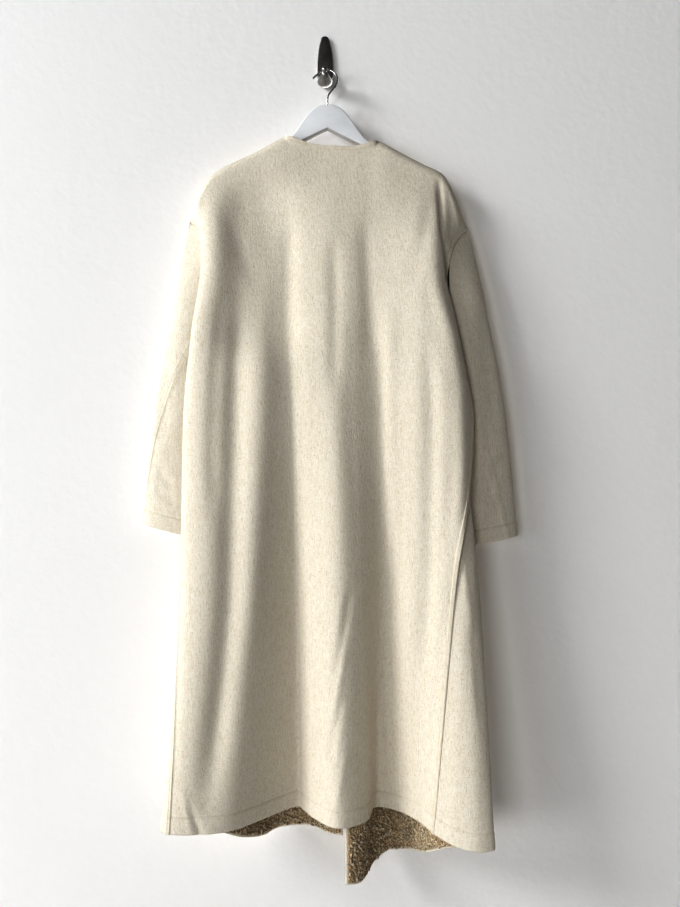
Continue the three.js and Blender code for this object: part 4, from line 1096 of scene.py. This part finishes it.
def plate_object(name, outline, thick, bevel, back_y):
    """A plate with rounded edges from an outline in x and z, its back at back_y."""
    curve = bpy.data.curves.new(name, "CURVE")
    curve.dimensions = "2D"
    curve.fill_mode = "BOTH"
    curve.extrude = (thick / 2 - bevel) * MM
    curve.bevel_depth = bevel * MM
    curve.bevel_resolution = 3
    curve.offset = -bevel * MM
    spline = curve.splines.new("POLY")
    spline.points.add(len(outline) - 1)
    for point, (x, z) in zip(spline.points, outline):
        point.co = (x * MM, z * MM, 0, 1)
    spline.use_cyclic_u = True
    mesh = worked_out(name, add_object(name, curve))
    for vertex in mesh.vertices:
        x, y, z = vertex.co
        vertex.co = (x, (back_y - thick / 2) * MM - z, y)
    face_outward(mesh)
    mesh.shade_smooth()
    mesh.set_sharp_from_angle(angle=math.radians(SHARP_ANGLE))
    return add_object(name, mesh)


def smooth_outline(points, count):
    """Points along a Catmull-Rom curve through corner points."""
    line = [(x, 0.0, z) for x, z in points]
    places = np.linspace(0, len(line) - 1, count)
    return [(p[0], p[2]) for p in across_folds(line, places)]


def make_hanger():
    end = HANGER_HALF
    crest = [(-HANGER_TOP[1][0], HANGER_TOP[1][1])] + HANGER_TOP
    crest.append((end - HANGER_CORNER, hanger_top_z(end - HANGER_CORNER)))
    half = [p for p in smooth_outline(crest, 90) if p[0] > 0.5]
    tip_z = hanger_top_z(end) - HANGER_TIP_HEIGHT
    under = [(end, hanger_top_z(end) - HANGER_CORNER), (end, tip_z + HANGER_CORNER),
             (end - HANGER_CORNER, tip_z), HANGER_UNDER]
    right = half + under
    outline = [(0, HANGER_TOP[0][1])] + right + [(0, HANGER_APEX_Z)] + [(-x, z) for x, z in reversed(right)]
    outline = [(x + HANG_X, z) for x, z in outline]
    piece = plate_object("hanger_wood", outline, HANGER_THICK, HANGER_BEVEL, HANGER_Y + HANGER_THICK / 2)
    finish_piece(piece, paint_material(), "painted_wood", "hanger")


def make_wire():
    """The round wire along its smooth line, closed by a small dome at each end."""
    line = [(x + HANG_X, HANGER_Y, z) for x, z in WIRE_LINE]
    path = across_folds(line, np.linspace(0, len(line) - 1, WIRE_STEPS))
    tangents = np.gradient(path, axis=0)
    tangents /= np.linalg.norm(tangents, axis=1, keepdims=True)
    side = np.array([0.0, 1.0, 0.0])
    stations = [(path[0] - tangents[0] * WIRE_RADIUS * 0.55, tangents[0], WIRE_TIP)]
    stations += [(p, t, 1.0) for p, t in zip(path, tangents)]
    stations += [(path[-1] + tangents[-1] * WIRE_RADIUS * 0.5, tangents[-1], WIRE_TIP)]
    points = []
    for centre, tangent, size in stations:
        up = np.cross(tangent, side)
        for k in range(WIRE_SIDES):
            angle = 2 * math.pi * k / WIRE_SIDES
            points.append(centre + (side * math.cos(angle) + up * math.sin(angle)) * WIRE_RADIUS * size)
    piece = new_mesh_object("hanger_wire", np.array(points) * MM, ring_faces(len(stations), WIRE_SIDES))
    face_outward(piece.data)
    metal = metal_material("bright wire", (0.80, 0.80, 0.81), (0.62, 0.62, 0.63), 0.26)
    finish_piece(piece, metal, "wire", "hanger_hook")


def plate_outline():
    top, bottom = PLATE["top_z"], PLATE["bottom_z"]
    top_half, bottom_half = PLATE["top_half"], PLATE["bottom_half"]
    shoulder, side_z, belly = PLATE["shoulder"], PLATE["side_z"], PLATE["belly"]

    def bend(a, b, c, count=16):
        return [tuple(lerp(lerp(p, q, k / count), lerp(q, r, k / count), k / count)
                      for p, q, r in zip(a, b, c)) for k in range(count)]

    left = bend((-bottom_half, bottom + shoulder), (-bottom_half, side_z), (-top_half, top - top_half))
    arc = [(-top_half * math.cos(a), top - top_half + top_half * math.sin(a))
           for a in np.linspace(0, math.pi, 24)]
    right = bend((top_half, top - top_half), (bottom_half, side_z), (bottom_half, bottom + shoulder))
    under = bend((bottom_half, bottom + shoulder), (bottom_half, bottom), (0, bottom - belly))
    under += bend((0, bottom - belly), (-bottom_half, bottom), (-bottom_half, bottom + shoulder))
    return left + arc + right + under


def make_wall_hook():
    metal = metal_material("dark nickel", (0.42, 0.405, 0.39), (0.30, 0.288, 0.278), 0.36)
    plate = plate_object("wall_plate", plate_outline(), PLATE["thick"], PLATE["bevel"], 0.0)
    places = np.linspace(0, len(HORN) - 1, HORN_STEPS)
    sections = across_folds([(y, z, half) for y, z, half, up, down in HORN], places)
    rises = across_folds([(up, down, 0.0) for y, z, half, up, down in HORN], places)
    points = []
    for (y, z, half), (up, down, _) in zip(sections, rises):
        for k in range(HORN_SIDES):
            angle = 2 * math.pi * k / HORN_SIDES
            rise = up if math.sin(angle) > 0 else down
            points.append((half * math.cos(angle) * MM, y * MM, (z + rise * math.sin(angle)) * MM))
    horn = new_mesh_object("wall_horn", points, ring_faces(len(sections), HORN_SIDES))
    face_outward(horn.data)
    ball = bmesh.new()
    bmesh.ops.create_uvsphere(ball, u_segments=HORN_SIDES, v_segments=20, radius=HORN_BALL["radius"] * MM)
    bmesh.ops.translate(ball, verts=ball.verts, vec=(0, HORN_BALL["y"] * MM, HORN_BALL["z"] * MM))
    mesh = bpy.data.meshes.new("wall_horn_ball")
    ball.to_mesh(mesh)
    ball.free()
    mesh.shade_smooth()
    knob = add_object("wall_horn_ball", mesh)
    finish_piece(plate, metal, "dark_nickel", "wall_hook")
    finish_piece(horn, metal, "dark_nickel")
    finish_piece(knob, metal, "dark_nickel")


make_hanger()
make_wire()
make_wall_hook()

# ------------------------------------------------------------------ stage, camera and lights


WALL_Y = 0.0006
WALL_HALF = 4
WALL_TOP = 2.2
FLOOR_Z = -1.66
FLOOR_REACH = 5


def stage_plane(name, corners, material):
    mesh = bpy.data.meshes.new(name)
    mesh.from_pydata(corners, [], [(0, 1, 2, 3)])
    mesh.materials.append(material)
    piece = add_object(name, mesh)
    return piece


def wall_material():
    """Pale plaster that is clear from behind, so that the coat's front can be seen past it."""
    material, tree, shader = new_material("plaster", (0.87, 0.857, 0.848), 0.9)
    rough = noise_mask(tree, (60, 60, 60), 0.3, 0.7, 4.0)
    bumped(tree, shader, rough, 0.0008, 0.3)
    clear = tree.nodes.new("ShaderNodeBsdfTransparent")
    side = tree.nodes.new("ShaderNodeNewGeometry")
    blend = tree.nodes.new("ShaderNodeMixShader")
    tree.links.new(side.outputs["Backfacing"], blend.inputs[0])
    tree.links.new(shader.outputs["BSDF"], blend.inputs[1])
    tree.links.new(clear.outputs["BSDF"], blend.inputs[2])
    tree.links.new(blend.outputs["Shader"], tree.nodes["Material Output"].inputs["Surface"])
    return material


def floor_material():
    material, tree, shader = new_material("pale floor", (0.62, 0.61, 0.6), 0.9)
    bumped(tree, shader, noise_mask(tree, (40, 40, 40), 0.3, 0.7), 0.0006, 0.3)
    return material


backdrop = stage_plane("backdrop", [(-WALL_HALF, WALL_Y, FLOOR_Z), (WALL_HALF, WALL_Y, FLOOR_Z),
                                    (WALL_HALF, WALL_Y, WALL_TOP), (-WALL_HALF, WALL_Y, WALL_TOP)],
                       wall_material())
stage_plane("floor", [(x * FLOOR_REACH, y * FLOOR_REACH, FLOOR_Z)
                      for x, y in ((-1, -1), (1, -1), (1, 1), (-1, 1))], floor_material())

SENSOR = 36
FRAME_HEIGHT = 907
FOCAL_LENGTH = 742.86  # in the frame's own units
CAMERA_PLACE = (0.0269, -1.332, -0.707)
camera_data = bpy.data.cameras.new("camera")
camera_data.sensor_width = SENSOR
camera_data.lens = FOCAL_LENGTH / FRAME_HEIGHT * SENSOR
camera = add_object("camera", camera_data)
camera.location = CAMERA_PLACE
camera.rotation_euler = (math.radians(90), 0, 0)
bpy.context.scene.camera = camera


def area_light(name, place, target, side, power, color=(1, 1, 1)):
    data = bpy.data.lights.new(name, "AREA")
    data.shape = "RECTANGLE"
    data.size = side
    data.size_y = side
    data.energy = power
    data.color = color
    lamp = add_object(name, data)
    lamp.location = place
    lamp.rotation_euler = (Vector(target) - Vector(place)).to_track_quat("-Z", "Y").to_euler()
    lamp.visible_camera = False
    return lamp


DAYLIGHT = (0.965, 0.985, 1.0)
WARM_LIGHT = (1.0, 0.93, 0.82)
LAMP_DISTANCE = 7
LAMP_SIZE = 2.0
# name, degrees left of the view, height, power and colour
FAR_LAMPS = [("high side lamp", 78, 2.6, 110, DAYLIGHT), ("high main lamp", 62, 2.6, 345, DAYLIGHT),
             ("low main lamp", 62, -0.9, 50, DAYLIGHT), ("low slanting lamp", 46, -0.9, 100, DAYLIGHT),
             ("low front lamp", 20, -0.6, 160, DAYLIGHT), ("weak right lamp", -40, 0.5, 12, WARM_LIGHT)]
for name, degrees, height, power, color in FAR_LAMPS:
    angle = math.radians(degrees)
    place = (-LAMP_DISTANCE * math.sin(angle), -LAMP_DISTANCE * math.cos(angle), height)
    area_light(name, place, (0, -0.05, -0.75), LAMP_SIZE, power, color)
area_light("front card", (0.3, -4.2, 0.5), (0, 0, -0.3), 3.0, 8)
rear = area_light("rear fill", (0.6, 2.6, 0.3), (0, 0, -0.75), 2.4, 60)
# the rear light reaches the coat through the backdrop
passed = bpy.data.collections.new("clear to the rear light")
passed.objects.link(backdrop)
rear.light_linking.blocker_collection = passed
passed.collection_objects[0].light_linking.link_state = "EXCLUDE"

world = bpy.data.worlds.new("world")
world.use_nodes = True
background = world.node_tree.nodes["Background"]
background.inputs["Color"].default_value = (1.0, 0.96, 0.9, 1)
background.inputs["Strength"].default_value = 0.006
bpy.context.scene.world = world
view = bpy.context.scene.view_settings
view.view_transform = "Standard"
view.gamma = 0.58
view.exposure = -0.09
